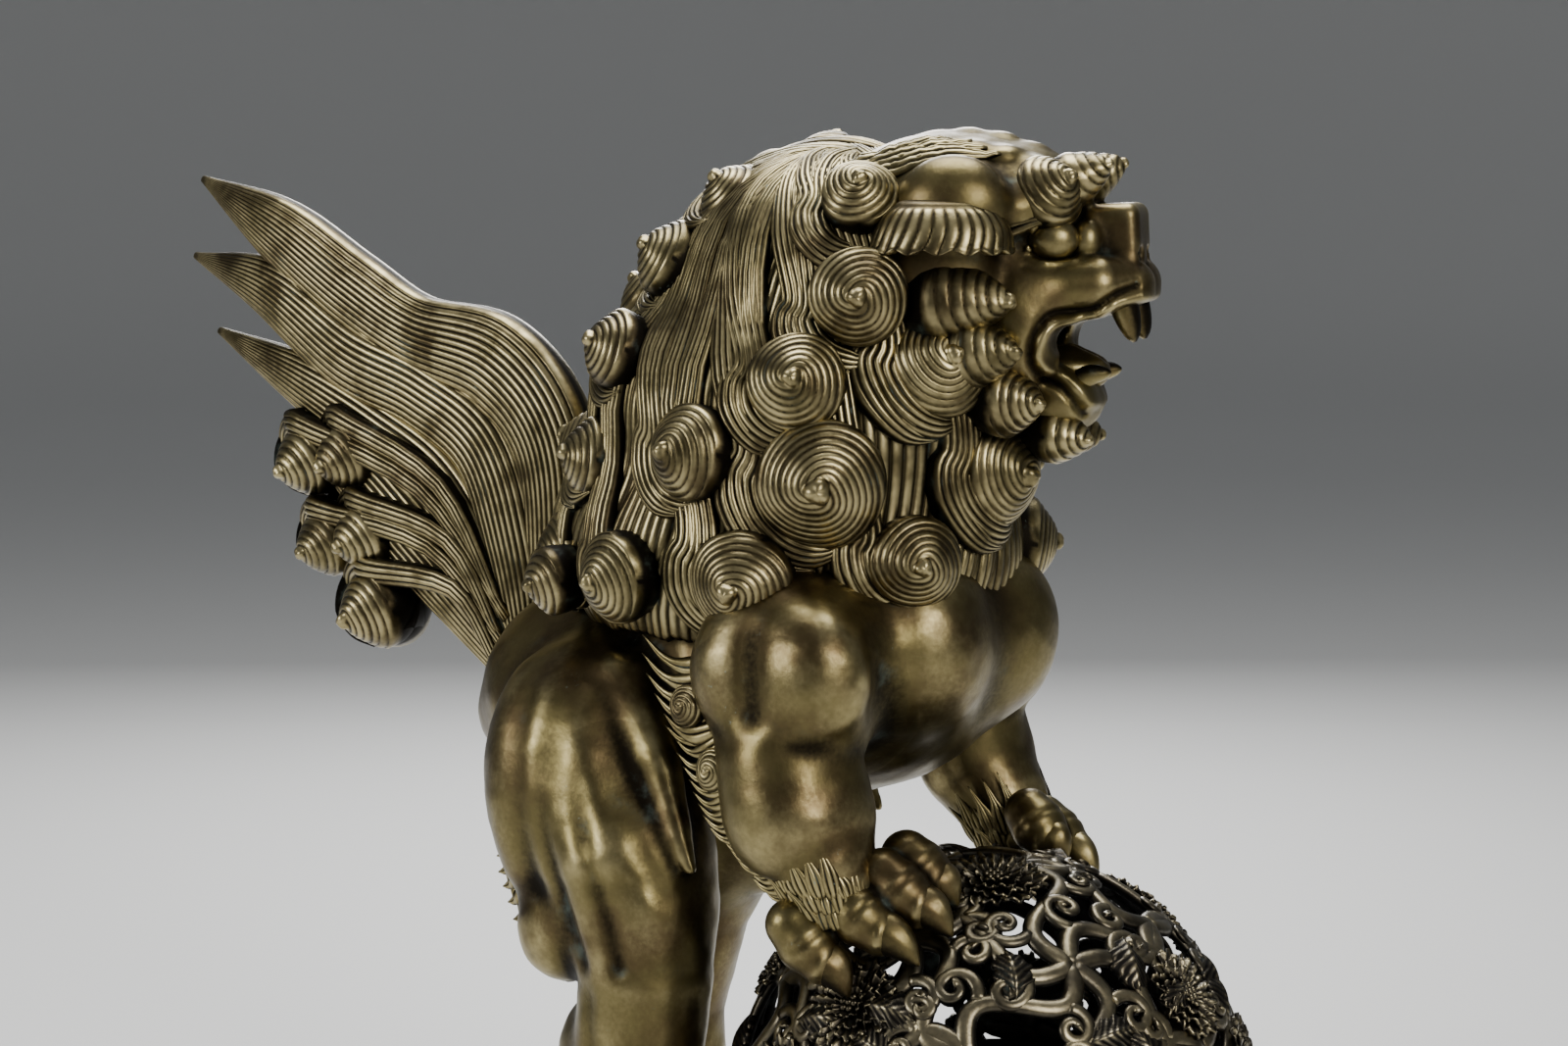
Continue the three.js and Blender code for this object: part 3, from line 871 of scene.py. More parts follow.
@dataclass
class BodyCastings:
    """The torso and the four legs, modelled as one form and parted along hidden laps."""

    shop: Workshop
    cell: float = 1.5
    lap: float = 9.0
    fillet: float = 11.0
    muscle_fillet: float = 6.5
    haunch_fillet: float = 15.0
    haunch_reach: float = 52.5
    trunk: list[tuple[Point, Point, float]] = field(default_factory=lambda: [
        ((-44, 0, 266), (43, 57, 50), 0),
        ((-95, 0, 251), (74, 52, 50), 0),
        ((-150, 0, 248), (58, 46, 40), 0),
        ((-186, 0, 236), (40, 44, 38), 0),
        ((-14, -24, 270), (22, 26, 30), 0),
        ((-14, 24, 270), (22, 26, 30), 0),
        ((-208, 0, 224), (27, 24, 20), 0),
    ])
    legs: list[Leg] = field(default_factory=lambda: [
        Leg("right front leg", "right_front_leg",
            [(-43, -58, 266, 33), (-41, -71, 236, 26), (-35, -75, 212, 24), (-25, -73, 197, 18),
             (-22, -71, 190, 16.5)],
            [((-56, -74, 262), (22, 20, 28), 0), ((-28, -76, 262), (22, 18, 27), 0),
             ((-44, -80, 232), (17, 14, 18), -20),
             ((-38, -83, 215), (20, 15, 24), -30), ((-24, -70, 216), (14, 17, 20), -25)],
            [(4, 0.9, [(-72, -86, 244), (-50, -94, 239), (-26, -90, 239), (-8, -80, 241)]),
             (6, 1.7, [(-45, -92, 278), (-43, -94, 262), (-42, -95, 250)])]),
        Leg("left front leg", "left_front_leg",
            [(-50, 56, 266, 30), (-56, 65, 236, 24), (-50, 67, 212, 22), (-38, 67, 197, 18),
             (-34, 66, 190, 16.5)],
            [((-62, 70, 258), (20, 18, 26), 0), ((-38, 70, 258), (18, 17, 26), 0),
             ((-50, 76, 214), (18, 13, 22), -30)],
            [(4, 1.6, [(-80, 80, 242), (-60, 88, 238), (-34, 84, 240)])]),
        Leg("right hind leg", "right_hind_leg",
            [(-146, -46, 214, 34), (-120, -60, 186, 31), (-112, -62, 142, 25), (-118, -63, 100, 23),
             (-138, -64, 44, 19), (-134, -64, 24, 18)],
            [((-146, -50, 208), (42, 31, 56), -8), ((-160, -58, 206), (21, 27, 48), -6),
             ((-140, -62, 202), (13, 25, 52), -12), ((-123, -62, 198), (13, 25, 50), -16),
             ((-101, -62, 172), (14, 22, 28), -6), ((-146, -63, 158), (20, 20, 22), 20),
             ((-103, -63, 118), (12, 15, 30), 4),
             ((-134, -64, 104), (13, 14, 26), -12)],
            [(4.5, 2.2,
              [(-147, -84, 254), (-143, -86, 236), (-141, -88, 202), (-131, -86, 168), (-124, -84, 150)]),
             (4.5, 2.0,
              [(-132, -84, 252), (-128, -88, 232), (-123, -88, 204), (-114, -86, 178), (-107, -84, 150)]),
             (4, 1.6, [(-116, -82, 242), (-110, -84, 221), (-99, -84, 196), (-88, -80, 174)]),
             (4, 2.0, [(-122, -88, 136), (-120, -88, 116), (-124, -88, 92)])]),
        Leg("left hind leg", "left_hind_leg",
            [(-160, 46, 214, 33), (-163, 60, 184, 30), (-182, 62, 140, 24), (-194, 62, 98, 22),
             (-186, 62, 42, 19),
             (-176, 62, 24, 18)],
            [((-160, 50, 206), (42, 31, 55), 0), ((-176, 58, 204), (20, 26, 46), 0),
             ((-156, 62, 200), (14, 24, 50), 0), ((-142, 62, 186), (15, 22, 36), 0),
             ((-196, 62, 150), (18, 18, 22), 20), ((-182, 62, 112), (12, 15, 30), 8)],
            [(4, 3.0, [(-164, 84, 250), (-166, 88, 210), (-172, 86, 170), (-180, 84, 150)]),
             (4, 2.8, [(-148, 84, 240), (-148, 88, 205), (-156, 84, 165)])]),
    ])

    def form(self) -> Clay:
        """The whole body as one block of clay, smoothed where the masses meet."""
        clay = Clay((-240, -112, -4), (40, 112, 330), self.cell)
        for centre, radii, pitch in self.trunk:
            clay.egg(centre, radii, 14, pitch)
        clay.limb([(-60, 0, 290, 44), (-50, 0, 342, 36)], 14)
        for leg in self.legs:
            clay.limb(leg.bones, self.fillet)
            for centre, radii, pitch in leg.muscles:
                haunch = max(radii) > self.haunch_reach
                clay.egg(centre, radii, self.haunch_fillet if haunch else self.muscle_fillet, pitch)
            for reach, depth, points in leg.creases:
                clay.line(points, reach, depth)
        self.skin_fold(clay)
        return clay

    def skin_fold(self, clay: Clay) -> None:
        """Draws the pointed fold of skin between each flank and thigh, and the rib and spine lines."""
        for side in Side:
            s = side.value
            shift = 0 if side is Side.RIGHT else -14
            clay.limb([(-128 + shift, s * 52, 250, 12), (-104 + shift, s * 64, 224, 8),
                       (-90 + shift, s * 70, 198, 4.5),
                       (-84 + shift, s * 72, 187, 2)], 6)
            clay.line([(-126 + shift, s * 62, 262), (-104 + shift, s * 70, 244), (-87 + shift, s * 76, 216),
                       (-82 + shift, s * 78, 190)], 2.5, 1.4)
            for k in range(4):
                x = -88 - 15 * k
                clay.line([(x, s * 40, 284), (x + 8, s * 54, 256), (x + 20, s * 48, 226)], 4.5, 1.1)
        for k in range(9):
            clay.egg((-118 - 11 * k, 0, 295 - 2.2 * k - 0.36 * k * k), (6.5, 6, 5), 4)

    def part(self, clay: Clay, region: Array, cut: tuple[slice, ...], keep_inside: bool) -> Clay:
        """The piece of the form inside or outside a region; its lap dives under its neighbour.

        Args:
            clay: The whole form.
            region: Distance from the region, negative inside it.
            cut: The window of the grid that region covers.
            keep_inside: Which piece to keep.

        Returns:
            The piece's own block.
        """
        piece = clay.copy()
        away = region if keep_inside else -region
        dive = 0.03 * np.maximum(away, 0) ** 2
        piece.field[cut] = np.maximum(piece.field[cut] + dive, away - self.lap)
        if keep_inside:
            mask = np.ones(piece.field.shape, bool)
            mask[cut] = False
            piece.field[mask] = Clay.AIR
        return piece

    def build(self) -> None:
        """Models the form, parts it and sets the pieces up."""
        whole = self.form()
        trunk = whole.copy()
        for leg in self.legs:
            grown = [(x, y, z, r + 14 if i == 0 else r + 22) for i, (x, y, z, r) in enumerate(leg.bones)]
            grown[0] = (*leg.bones[0][:3], leg.bones[0][3] + 5)
            cut, region = whole.distance(grown)
            side = math.copysign(1.0, leg.bones[0][1])
            middle = (22 - side * whole.ticks[1][cut[1]]).astype(np.float32)[None, :, None]
            region = np.maximum(region, middle)
            piece = self.part(whole, region, cut, True)
            trunk = self.part(trunk, region, cut, False)
            shape = self.hammered(piece.mesh())
            self.shop.set_up(leg.name, shape, BODY_BRONZE, Body.STATUE, [leg.node])
        self.shop.set_up("torso", self.hammered(trunk.mesh()), BODY_BRONZE, Body.STATUE, ["torso_casting"])

    def hammered(self, shape: Shape) -> Shape:
        """A clay mesh with the faint unevenness of cast and filed metal."""
        shape = worked(shape, 2, 22, 0.42)
        dents = 0.25 * wobble(shape.points, 24, 5) + 0.12 * wobble(shape.points, 9, 6)
        shape.points += normals_of(shape) * dents[:, None]
        return shape


@dataclass
class Paw:
    """A paw: long toes side by side, each ending in a ridged claw set in a fold of skin."""

    shop: Workshop
    name: str
    root: Point
    heels: list[Point]
    tips: list[Point]
    palm: Point
    fat: float = 10.2
    cell: float = 0.85

    def build(self) -> None:
        """Models the toes and the claws."""
        heels, tips = np.array(self.heels, float), np.array(self.tips, float)
        low = np.minimum(np.minimum(heels.min(axis=0), tips.min(axis=0)), self.root) - 22
        high = np.maximum(np.maximum(heels.max(axis=0), tips.max(axis=0)), self.root) + 22
        clay = Clay(low, high, self.cell)
        clay.egg(self.root, self.palm, 4)
        claws = []
        for heel, tip in zip(heels, tips):
            run = tip - heel
            clay.limb([(*(heel + run * 0.14), self.fat * 0.92), (*(heel + run * 0.34), self.fat)], 1.4)
            clay.limb([(*(heel + run * 0.40), self.fat * 0.98), (*(heel + run * 0.58), self.fat * 0.80)],
                      2.6)
            across = unit(np.cross(run, (0, 0, 1)))
            over = unit(np.cross(across, run))
            fold = heel + run * 0.64
            bend = np.linspace(-0.15, math.pi + 0.15, 9)
            back = (np.sin(bend) * 0.09 * np.linalg.norm(run))[:, None] * unit(run)
            arch = across * np.cos(bend)[:, None] + over * np.sin(bend)[:, None]
            clay.line(fold - back + self.fat * 0.74 * arch, 1.3, -1.3)
            clay.line(heel + run * 0.38 + self.fat * 0.97 * arch, 1.4, 0.7)
            claws.append(self.claw(heel + run * 0.55, tip, across, over))
        shape = worked(clay.mesh(), 2, 16, 0.5)
        self.shop.set_up(self.name, joined([shape, *claws]), BODY_BRONZE, Body.STATUE)

    def claw(self, base: Array, tip: Array, across: Array, over: Array) -> Shape:
        """One conical claw with a ridge along its back, bent a little downwards."""
        steps = np.linspace(0, 1, 16)
        path = base + (tip - base) * steps[:, None] + over * (1.8 * np.sin(steps * math.pi))[:, None]
        radii = self.fat * 0.72 * (1 - steps**1.9) ** 0.9 + 0.4
        angle = np.arange(28) / 28 * TAU
        bulge = 1 + 0.14 * np.exp(-(((np.sin(angle) - 1) / 0.10) ** 2))
        ring = across * (np.cos(angle) * bulge)[:, None] + over * (np.sin(angle) * bulge)[:, None]
        rings = path[:, None, :] + ring[None] * radii[:, None, None]
        # Painted shade: the claw's underside gets low relief, which the finish paints dark.
        relief = np.broadcast_to((0.42 + 0.36 * np.sin(angle))[None, :], rings.shape[:2])
        return tube(rings, relief)


@dataclass
class Fur:
    """Short tongues of fur: wrist points, fringes behind the forearms and ragged edges of the thighs."""

    shop: Workshop
    round_the_wrist: int = 22
    hind_edges: dict[Side, tuple[list[Vec], list[Vec]]] = field(default_factory=lambda: {
        Side.RIGHT: ([(-178, -61, 190), (-174, -62, 170), (-162, -63, 152), (-148, -64, 140)],
                     [(-130, -69, 122), (-137, -69, 98), (-145, -68, 70)]),
        Side.LEFT: ([(-192, 60, 190), (-190, 62, 170), (-196, 64, 152), (-200, 65, 140)],
                    [(-203, 66, 122), (-207, 66, 98), (-199, 66, 70)])})

    def tongue(self, knots: Sequence[Vec], out: Vec, width: float, strands: float, rise: float) -> Shape:
        """One pointed lock of fur.

        Args:
            knots: Knots of its middle, from the root.
            out: Outward direction of the surface.
            width: Its width at the root.
            strands: How many strands it has.
            rise: How far it stands above the surface.

        Returns:
            The lock.
        """
        path = spline(knots, 14)
        t = np.linspace(0, 1, 14)
        belly = 0.75 + 0.5 * np.sin(math.pi * np.minimum(t * 1.6, 1))
        widths = width * np.clip((1 - t**2.2) * belly, 0.06, None)
        return lock(path, np.broadcast_to(unit(out), path.shape), widths, strands, rise, 2.6, 0.7)

    def wrist(self, centre: Vec, radius: float, reach: float, tilt: float) -> Shape:
        """Three rows of points that run up from a wrist.

        Args:
            centre: Middle of the wrist.
            radius: Radius that the points lie on.
            reach: How far they run up the arm.
            tilt: Backward lean of the arm over that reach.

        Returns:
            The fringe.
        """
        rng = np.random.default_rng(11)
        tongues = []
        for k in range(3 * self.round_the_wrist):
            row = k // self.round_the_wrist
            a = k / self.round_the_wrist * TAU + 0.1 * row
            out = np.array([math.cos(a), math.sin(a), 0.15])
            foot = np.array(centre) + (1.8 * row, 0, -3 - 5.5 * row)
            root = foot + out * (radius - 1.3 * row) * (1, 1.05, 0)
            long = reach * rng.uniform(0.65, 1.3)
            sway = rng.uniform(-3.5, 3.5)
            knots = [root, root + (-0.4 * tilt, sway * 0.4, long * 0.5) + out * (1.6 - 0.2 * row),
                     root + (-tilt, sway, long) + out * (2.6 - 0.2 * row)]
            tongues.append(self.tongue(knots, out, 6.0, 3, 0.8))
        return joined(tongues)

    def fringe(self, edge: Sequence[Vec], away: Vec, curl: Vec, out: Vec, count: int, long: float,
               width: float = 6.0) -> Shape:
        """Crescent tongues stacked along an edge: each leaves it, dips and curls up to its tip.

        Args:
            edge: Knots of the line that the roots stand on.
            away: Direction in which the tongues leave the edge.
            curl: Direction that the tips turn to.
            out: Outward direction of the surface.
            count: How many tongues.
            long: Length of the first; the last is two thirds of it.
            width: Width of each.

        Returns:
            The fringe.
        """
        rng = np.random.default_rng(count)
        away, curl = unit(away), unit(curl)
        tongues = []
        for k, root in enumerate(spline(edge, count)):
            far = long * (1 - 0.35 * k / count) * rng.uniform(0.9, 1.12)
            steps = ((-0.45, 0.05), (0.15, -0.06), (0.6, 0.05), (0.92, 0.42))
            knots = [root + (away * run + curl * up) * far for run, up in steps]
            tongues.append(self.tongue(knots, out, width, 2, 1.9))
        return joined(tongues)

    def build(self) -> None:
        """Sets up the fur of all four legs."""
        for side in Side:
            s = side.value
            right = side is Side.RIGHT
            dx = 0 if right else -12
            y = 80 if right else 72
            wrist = (-23, s * 72, 190) if right else (-33, s * 67, 190)
            self.shop.set_up(f"{side.word} wrist fur", self.wrist(wrist, 16.5, 19, 9), BODY_BRONZE,
                             Body.STATUE)
            arm = [(-70 + dx, s * y, 240), (-61 + dx, s * (y + 3), 222), (-52 + dx, s * (y + 3), 206),
                   (-40 + dx, s * y, 192), (-28 + dx, s * (y - 3), 180)]
            low = self.fringe(arm, (-0.95, 0, -0.45), (-0.25, 0, 1), (0.1, s, 0), 17, 19)
            tuft = [(-74 + dx, s * (y - 2), 264), (-76 + dx, s * y, 252), (-72 + dx, s * (y + 2), 240)]
            high = self.fringe(tuft, (-1, 0, -0.1), (-0.3, 0, 1), (-0.2, s, 0), 5, 24, 7.5)
            self.shop.set_up(f"{side.word} forearm fringe", joined([low, high]), BODY_BRONZE, Body.STATUE)
            curls = []
            for x, z, radius in ((-76, 249, 7.5), (-64, 227, 8)):
                curl = whorl(radius, radius * 0.7, 3, 1.7, 6)
                curls.append(curl.moved((x + dx, -y - 4.5, z), axes_for((-0.1, -1, 0.1))))
            self.shop.set_up(f"{side.word} elbow curls", joined(curls).on(side), HAIR_BRONZE, Body.STATUE)
            thigh, hock = self.hind_edges[side]
            shapes = [self.fringe(thigh, (-0.5, 0, -0.85), (-1, 0, 0.3), (-0.5, s, 0), 11, 7.5, 9),
                      self.fringe(hock, (-0.9, 0, -0.6), (-0.6, 0, 0.8), (-0.3, s, 0), 10, 8.5, 9)]
            self.shop.set_up(f"{side.word} hind leg fringe", joined(shapes), BODY_BRONZE, Body.STATUE)


# --- Head ------------------------------------------------------------------------------------------


def pebble(centre: Vec, radii: Vec) -> Shape:
    """A smooth egg as a closed mesh, with its middle and three radii."""
    lat = np.linspace(-math.pi / 2 + 0.08, math.pi / 2 - 0.08, 24)[:, None]
    lon = (np.arange(36) / 36 * TAU)[None, :]
    rings = np.stack([np.cos(lat) * np.cos(lon), np.cos(lat) * np.sin(lon), np.sin(lat) + 0 * lon], axis=-1)
    return tube(rings * np.array(radii) + np.array(centre), np.full(rings.shape[:2], 0.72))


@dataclass
class HeadCasting:
    """The head in its own frame (X forward), turned a little to its left on the neck."""

    shop: Workshop
    seat: Point = (-35, 0, 400)
    yaw: float = 20.0
    cell: float = 0.9
    mouth: list[Point] = field(default_factory=lambda: [
        (61, -21, 6.5), (68, -22, 9), (80, -22, 13), (104, -22, 20)])
    rim: list[tuple[float, float]] = field(default_factory=lambda: [
        (86.5, -6), (79, -8.5), (72, -13), (64, -14.5), (57.5, -16), (54, -21), (52.6, -27), (54.5, -31.5),
        (59, -34), (64, -38.5), (68, -44)])
    face_lines: list[tuple[list[Point], float]] = field(default_factory=lambda: [
        ([(47, 26, 12), (51, 27, 20), (57, 25.5, 22.5), (62, 22, 21)], -1.6),
        ([(47.5, 26, 11), (53, 26.5, 7.5), (60, 23, 7), (66, 18, 8)], -1.3),
        ([(46, 27, 4), (54, 26, 2), (62, 22, 3)], 1.0),
        ([(66, 17, 5), (74, 14.5, 3.8), (84, 11, 4.5)], 1.1)])
    lip_hollow: list[tuple[float, float]] = field(default_factory=lambda: [
        (84, -1.5), (77.5, -4.5), (70.5, -9), (63, -10.2), (55, -12), (49.8, -19.5), (48.4, -27.5),
        (50.8, -34.8), (57, -38.2), (61, -42.5), (64.5, -48)])

    def placed(self, shape: Shape) -> Shape:
        """A shape of the head's own frame, in the workshop frame."""
        a = math.radians(self.yaw)
        axes = np.array([[math.cos(a), math.sin(a), 0], [-math.sin(a), math.cos(a), 0], [0, 0, 1]])
        return shape.moved(self.seat, axes)

    def side_gap(self, clay: Clay, stations: Sequence[Vec]) -> Array:
        """Distance from a chain (x, z, r) seen from the side, the same for every Y."""
        x = clay.ticks[0].astype(np.float32)[:, None, None]
        z = clay.ticks[2].astype(np.float32)[None, None, :]
        best = None
        for a, b in zip(stations, stations[1:]):
            dx, dz = b[0] - a[0], b[1] - a[1]
            t = np.clip(((x - a[0]) * dx + (z - a[1]) * dz) / (dx * dx + dz * dz), 0, 1)
            gap = np.sqrt((x - a[0] - t * dx) ** 2 + (z - a[1] - t * dz) ** 2) - (a[2] + (b[2] - a[2]) * t)
            best = gap if best is None else np.minimum(best, gap)
        return best

    def form(self) -> Clay:
        """Skull, muzzle, brows, cheeks and jaw as one form, with the mouth cut and its lips rolled."""
        clay = Clay((-50, -58, -76), (100, 58, 64), self.cell)
        clay.egg((4, 0, 8), (44, 41, 42), 8)
        clay.egg((22, 0, 27), (36, 34, 25), 10)
        clay.egg((45, 0, 30), (16, 29, 15), 8)
        clay.limb([(-14, 6, -60, 30), (-2, 0, -10, 36)], 10)
        for s in (-1, 1):
            clay.egg((43, s * 19, -14), (17, 15, 25), 8)
            clay.limb([(54, s * 19, -3, 10), (70, s * 16, -1.5, 10.5), (80, s * 9, -1, 8.5)], 6)
            clay.egg((83.5, s * 5, -2), (5.5, 7, 7), 3)
            clay.limb([(44, s * 27, 25, 7), (53, s * 21, 31, 9), (61, s * 12, 33, 8)], 5)
            clay.egg((22, s * 36, 27), (20, 14, 17.5), 6)
            clay.egg((8, s * 33, 3), (27, 13, 18), 7)
        clay.egg((60, 0, 12), (14, 15, 13), 5)
        for s in (-1, 1):
            clay.egg((66, s * 14.5, 14), (5.5, 5.5, 7.2), 2.4)
        clay.brick((74.5, 0, 15.5), (10, 13.5, 11.5), 4.5, 3.5, -3)
        clay.limb([(30, 0, -44, 15), (52, 0, -45, 14.5), (59, 0, -44, 11)], 8)
        for s in (-1, 1):
            clay.egg((56, s * 9, -42), (12.5, 9, 11), 4)
        for x in range(-24, 44, 11):
            for y in (-17, 0, 17):
                clay.egg((x + (5 if y else 0), y, 49.5 - 0.011 * (x - 20) ** 2 - 0.016 * y * y),
                         (7.5, 7, 4.5), 2.5)
        mouth = np.broadcast_to(self.side_gap(clay, self.mouth), clay.field.shape)
        clay.blend((slice(None),) * 3, mouth, 2.0, carve=True)
        clay.egg((56, 0, -21), (14, 15, 8), 3, carve=True)
        ridge, hollow = (self.side_gap(clay, [(x, z, 0.0) for x, z in spline(curve, 44)])
                         for curve in (self.rim, self.lip_hollow))
        clay.field += -2.3 * np.exp(-((ridge / 2.2) ** 2)) + 1.5 * np.exp(-((hollow / 1.3) ** 2))
        for s in (-1, 1):
            clay.egg((84.5, s * 7, 9), (4, 3.6, 2.8), 1.5, carve=True)
            for line, depth in self.face_lines:
                clay.line([(x, s * y, z) for x, y, z in line], 1.5, depth)
        return clay

    def build(self) -> None:
        """Sets up the head, the jaw and everything that sits on them."""
        whole = self.form()
        x = whole.ticks[0].astype(np.float32)[:, None, None]
        z = whole.ticks[2].astype(np.float32)[None, None, :]
        above = np.broadcast_to(z + 31 - 0.18 * np.maximum(x - 50, 0) + 0 * x, whole.field.shape)
        for name, away, nodes in (("head", -above, ["head_casting"]), ("lower jaw", above, ["lower_jaw"])):
            piece = whole.copy()
            piece.field = np.maximum(piece.field + 0.03 * np.maximum(away, 0) ** 2, away - 8)
            if name == "lower jaw":
                piece.field = np.maximum(piece.field, np.broadcast_to(24 - x, piece.field.shape))
            self.set_up(name, worked(piece.mesh(), 2, 16, 0.5), nodes)
        self.crown_locks(whole)
        tongue = Clay((30, -20, -50), (82, 20, -14), 0.8)
        tongue.limb([(44, 0, -32, 8), (57, 0, -31, 8), (66, 0, -33.5, 6)], 3)
        tongue.egg((58, 0, -32), (13, 12.5, 6), 3)
        tongue.line([(44, 0, -24), (58, 0, -24), (70, 0, -29)], 1.6, 1.6)
        self.set_up("tongue", worked(tongue.mesh()), ["tongue"])
        for side in Side:
            self.details(side)
        self.curls()

    def crown_locks(self, clay: Clay) -> None:
        """Combs locks back over each temple, above the ears."""
        for side in Side:
            locks = []
            for k in range(4):
                knots = np.array([(36 - 7 * k, 23 - 3.0 * k, 44), (14 - 5 * k, 28 - 2.2 * k, 44),
                                  (-10 - 3 * k, 33 - 3.5 * k, 42), (-34 - 2 * k, 30 - 5 * k, 36)], float)
                path = clay.touched(spline(knots * (1, side.value, 1), 30), (0, 0, 10))
                outs = unit(path - (0, 0, 10))
                widths = ramp([(0, 1.5), (0.2, 8), (0.8, 11), (1, 5)], np.linspace(0, 1, 30))
                locks.append(lock(path, outs, widths, 3, rise=2.4 + 0.4 * k, depth=5, groove=1.0))
            self.set_up(f"{side.word} temple locks", joined(locks), (), HAIR_BRONZE)

    def set_up(self, name: str, shape: Shape, nodes: Sequence[str] = (),
               finish: Bronze = BODY_BRONZE) -> None:
        """Sets up a piece that is laid out in the head's frame."""
        self.shop.set_up(name, self.placed(shape), finish, Body.STATUE, nodes)

    def details(self, side: Side) -> None:
        """The eye, the fangs and the ear of one side."""
        s, word = side.value, side.word
        self.set_up(f"{word} eye", pebble((55, s * 20.5, 14.6), (9.2, 7.2, 7.8)), [f"{word}_eye"])
        t = np.linspace(0, 1, 14)
        taper = np.sqrt(np.clip(1 - t**2.6, 0.02, 1))
        upper = spline([(77, s * 11, -3), (80, s * 11.5, -12), (83, s * 11, -22)], 14)
        self.set_up(f"{word} upper fang", rod(upper, 5.4 * taper, 14), [f"{word}_upper_fang"])
        lower = spline([(58, s * 10.5, -40), (66, s * 11, -34.5), (74.5, s * 11, -33)], 14)
        self.set_up(f"{word} lower fang", rod(lower, 4.3 * taper, 14), [f"{word}_lower_fang"])
        blunt = 2.0 * np.sqrt(np.clip(1 - np.linspace(0, 1, 8) ** 3, 0.03, 1))
        teeth = []
        for k in range(3):
            x, y = 79 + 0.8 * (3 - k), s * (2.2 + 3.6 * k)
            teeth.append(rod(spline([(x, y, -5), (x + 0.5, y, -10.5)], 8), blunt, 10))
        self.set_up(f"{word} front teeth", joined(teeth))
        self.set_up(f"{word} ear", self.ear(s), [f"{word}_ear"], HAIR_BRONZE)

    def ear(self, s: int) -> Shape:
        """The scalloped flap of one ear, open below; s is the sign of Y."""
        rise = np.linspace(0.0, 1.0, 40)[:, None]
        sweep = np.linspace(0.0, math.pi, 150)[None, :]
        wall = np.sqrt(1 - (0.98 * rise) ** 2) ** 0.8
        fan = strand(sweep / math.pi * 15 + 0.6 * np.sin(3 * rise))
        band = ease((0.80 - rise) / 0.1)
        bead, hem = np.exp(-(((rise - 0.86) / 0.05) ** 2)), np.exp(-((rise / 0.05) ** 2))
        size = 1 + 0.035 * fan * band + 0.05 * bead + 0.03 * hem

        def sheet(scale: float) -> Array:
            """One side of the flap, scaled about its middle."""
            x = 19 + 25 * scale * size * wall * np.cos(sweep)
            y = s * (38 + 21 * scale * size * wall * np.sin(sweep) ** 0.8)
            z = 10.5 + 20 * rise * (0.6 + 0.4 * scale) + 0.9 * np.cos(sweep * 15) * (1 - rise) ** 6
            return np.stack([x + 0 * z, y + 0 * z, z + 0 * x], axis=-1)

        relief = np.where(band > 0.5, 0.1 + 0.8 * fan, 0.6) + 0 * wall
        return slab(sheet(1.0), sheet(0.84), relief)

    def curls(self) -> None:
        """The curls of the brows, cheeks, beard and chin, all wound towards the front."""
        places = [
            ("brow curl", (53, -20, 31), (0.72, -0.50, 0.46), 14, 14, 3),
            ("brow tip curl", (60, -14, 35), (0.92, -0.1, 0.40), 10, 17, 3),
            ("upper cheek curl", (19, -35, -7), (1.0, -0.28, 0.0), 16, 28, 3),
            ("lower cheek curl", (29, -34, -25), (0.96, -0.38, 0.0), 13.5, 20, 3),
            ("beard curl", (39, -25, -43), (0.95, -0.40, -0.05), 13, 16, 2),
            ("chin curl", (54, -9, -56), (0.97, -0.30, -0.1), 10.5, 15, 2),
        ]
        for side in Side:
            for name, at, way, radius, height, arms in places:
                curl = whorl(radius, height, arms, 2.4, 9).moved(at, axes_for(way)).on(side)
                self.set_up(f"{side.word} {name}", curl, (), HAIR_BRONZE)
            feed = []
            for k in range(4):
                start = np.array([34 + 1.5 * k, 33.5 - 0.6 * k, 14 + 3.2 * k])
                knots = [start, start + (8, -1.5, 3.2), (51 + 1.2 * k, 28.5 - k, 21 + 1.2 * k),
                         (61, 20 - 2 * k, 23 + 1.2 * k)]
                path = spline(knots, 20) * (1, side.value, 1)
                feed.append(rod(path, 1.9 * np.sin(np.linspace(0.25, math.pi - 0.3, 20)), 10))
            self.set_up(f"{side.word} brow strands", joined(feed), (), HAIR_BRONZE)


# --- Mane ------------------------------------------------------------------------------------------


@dataclass
class Curl:
    """One snail curl of the mane: its foot, its size and the way it faces."""

    foot: Point
    radius: float
    facing: Point | None = None


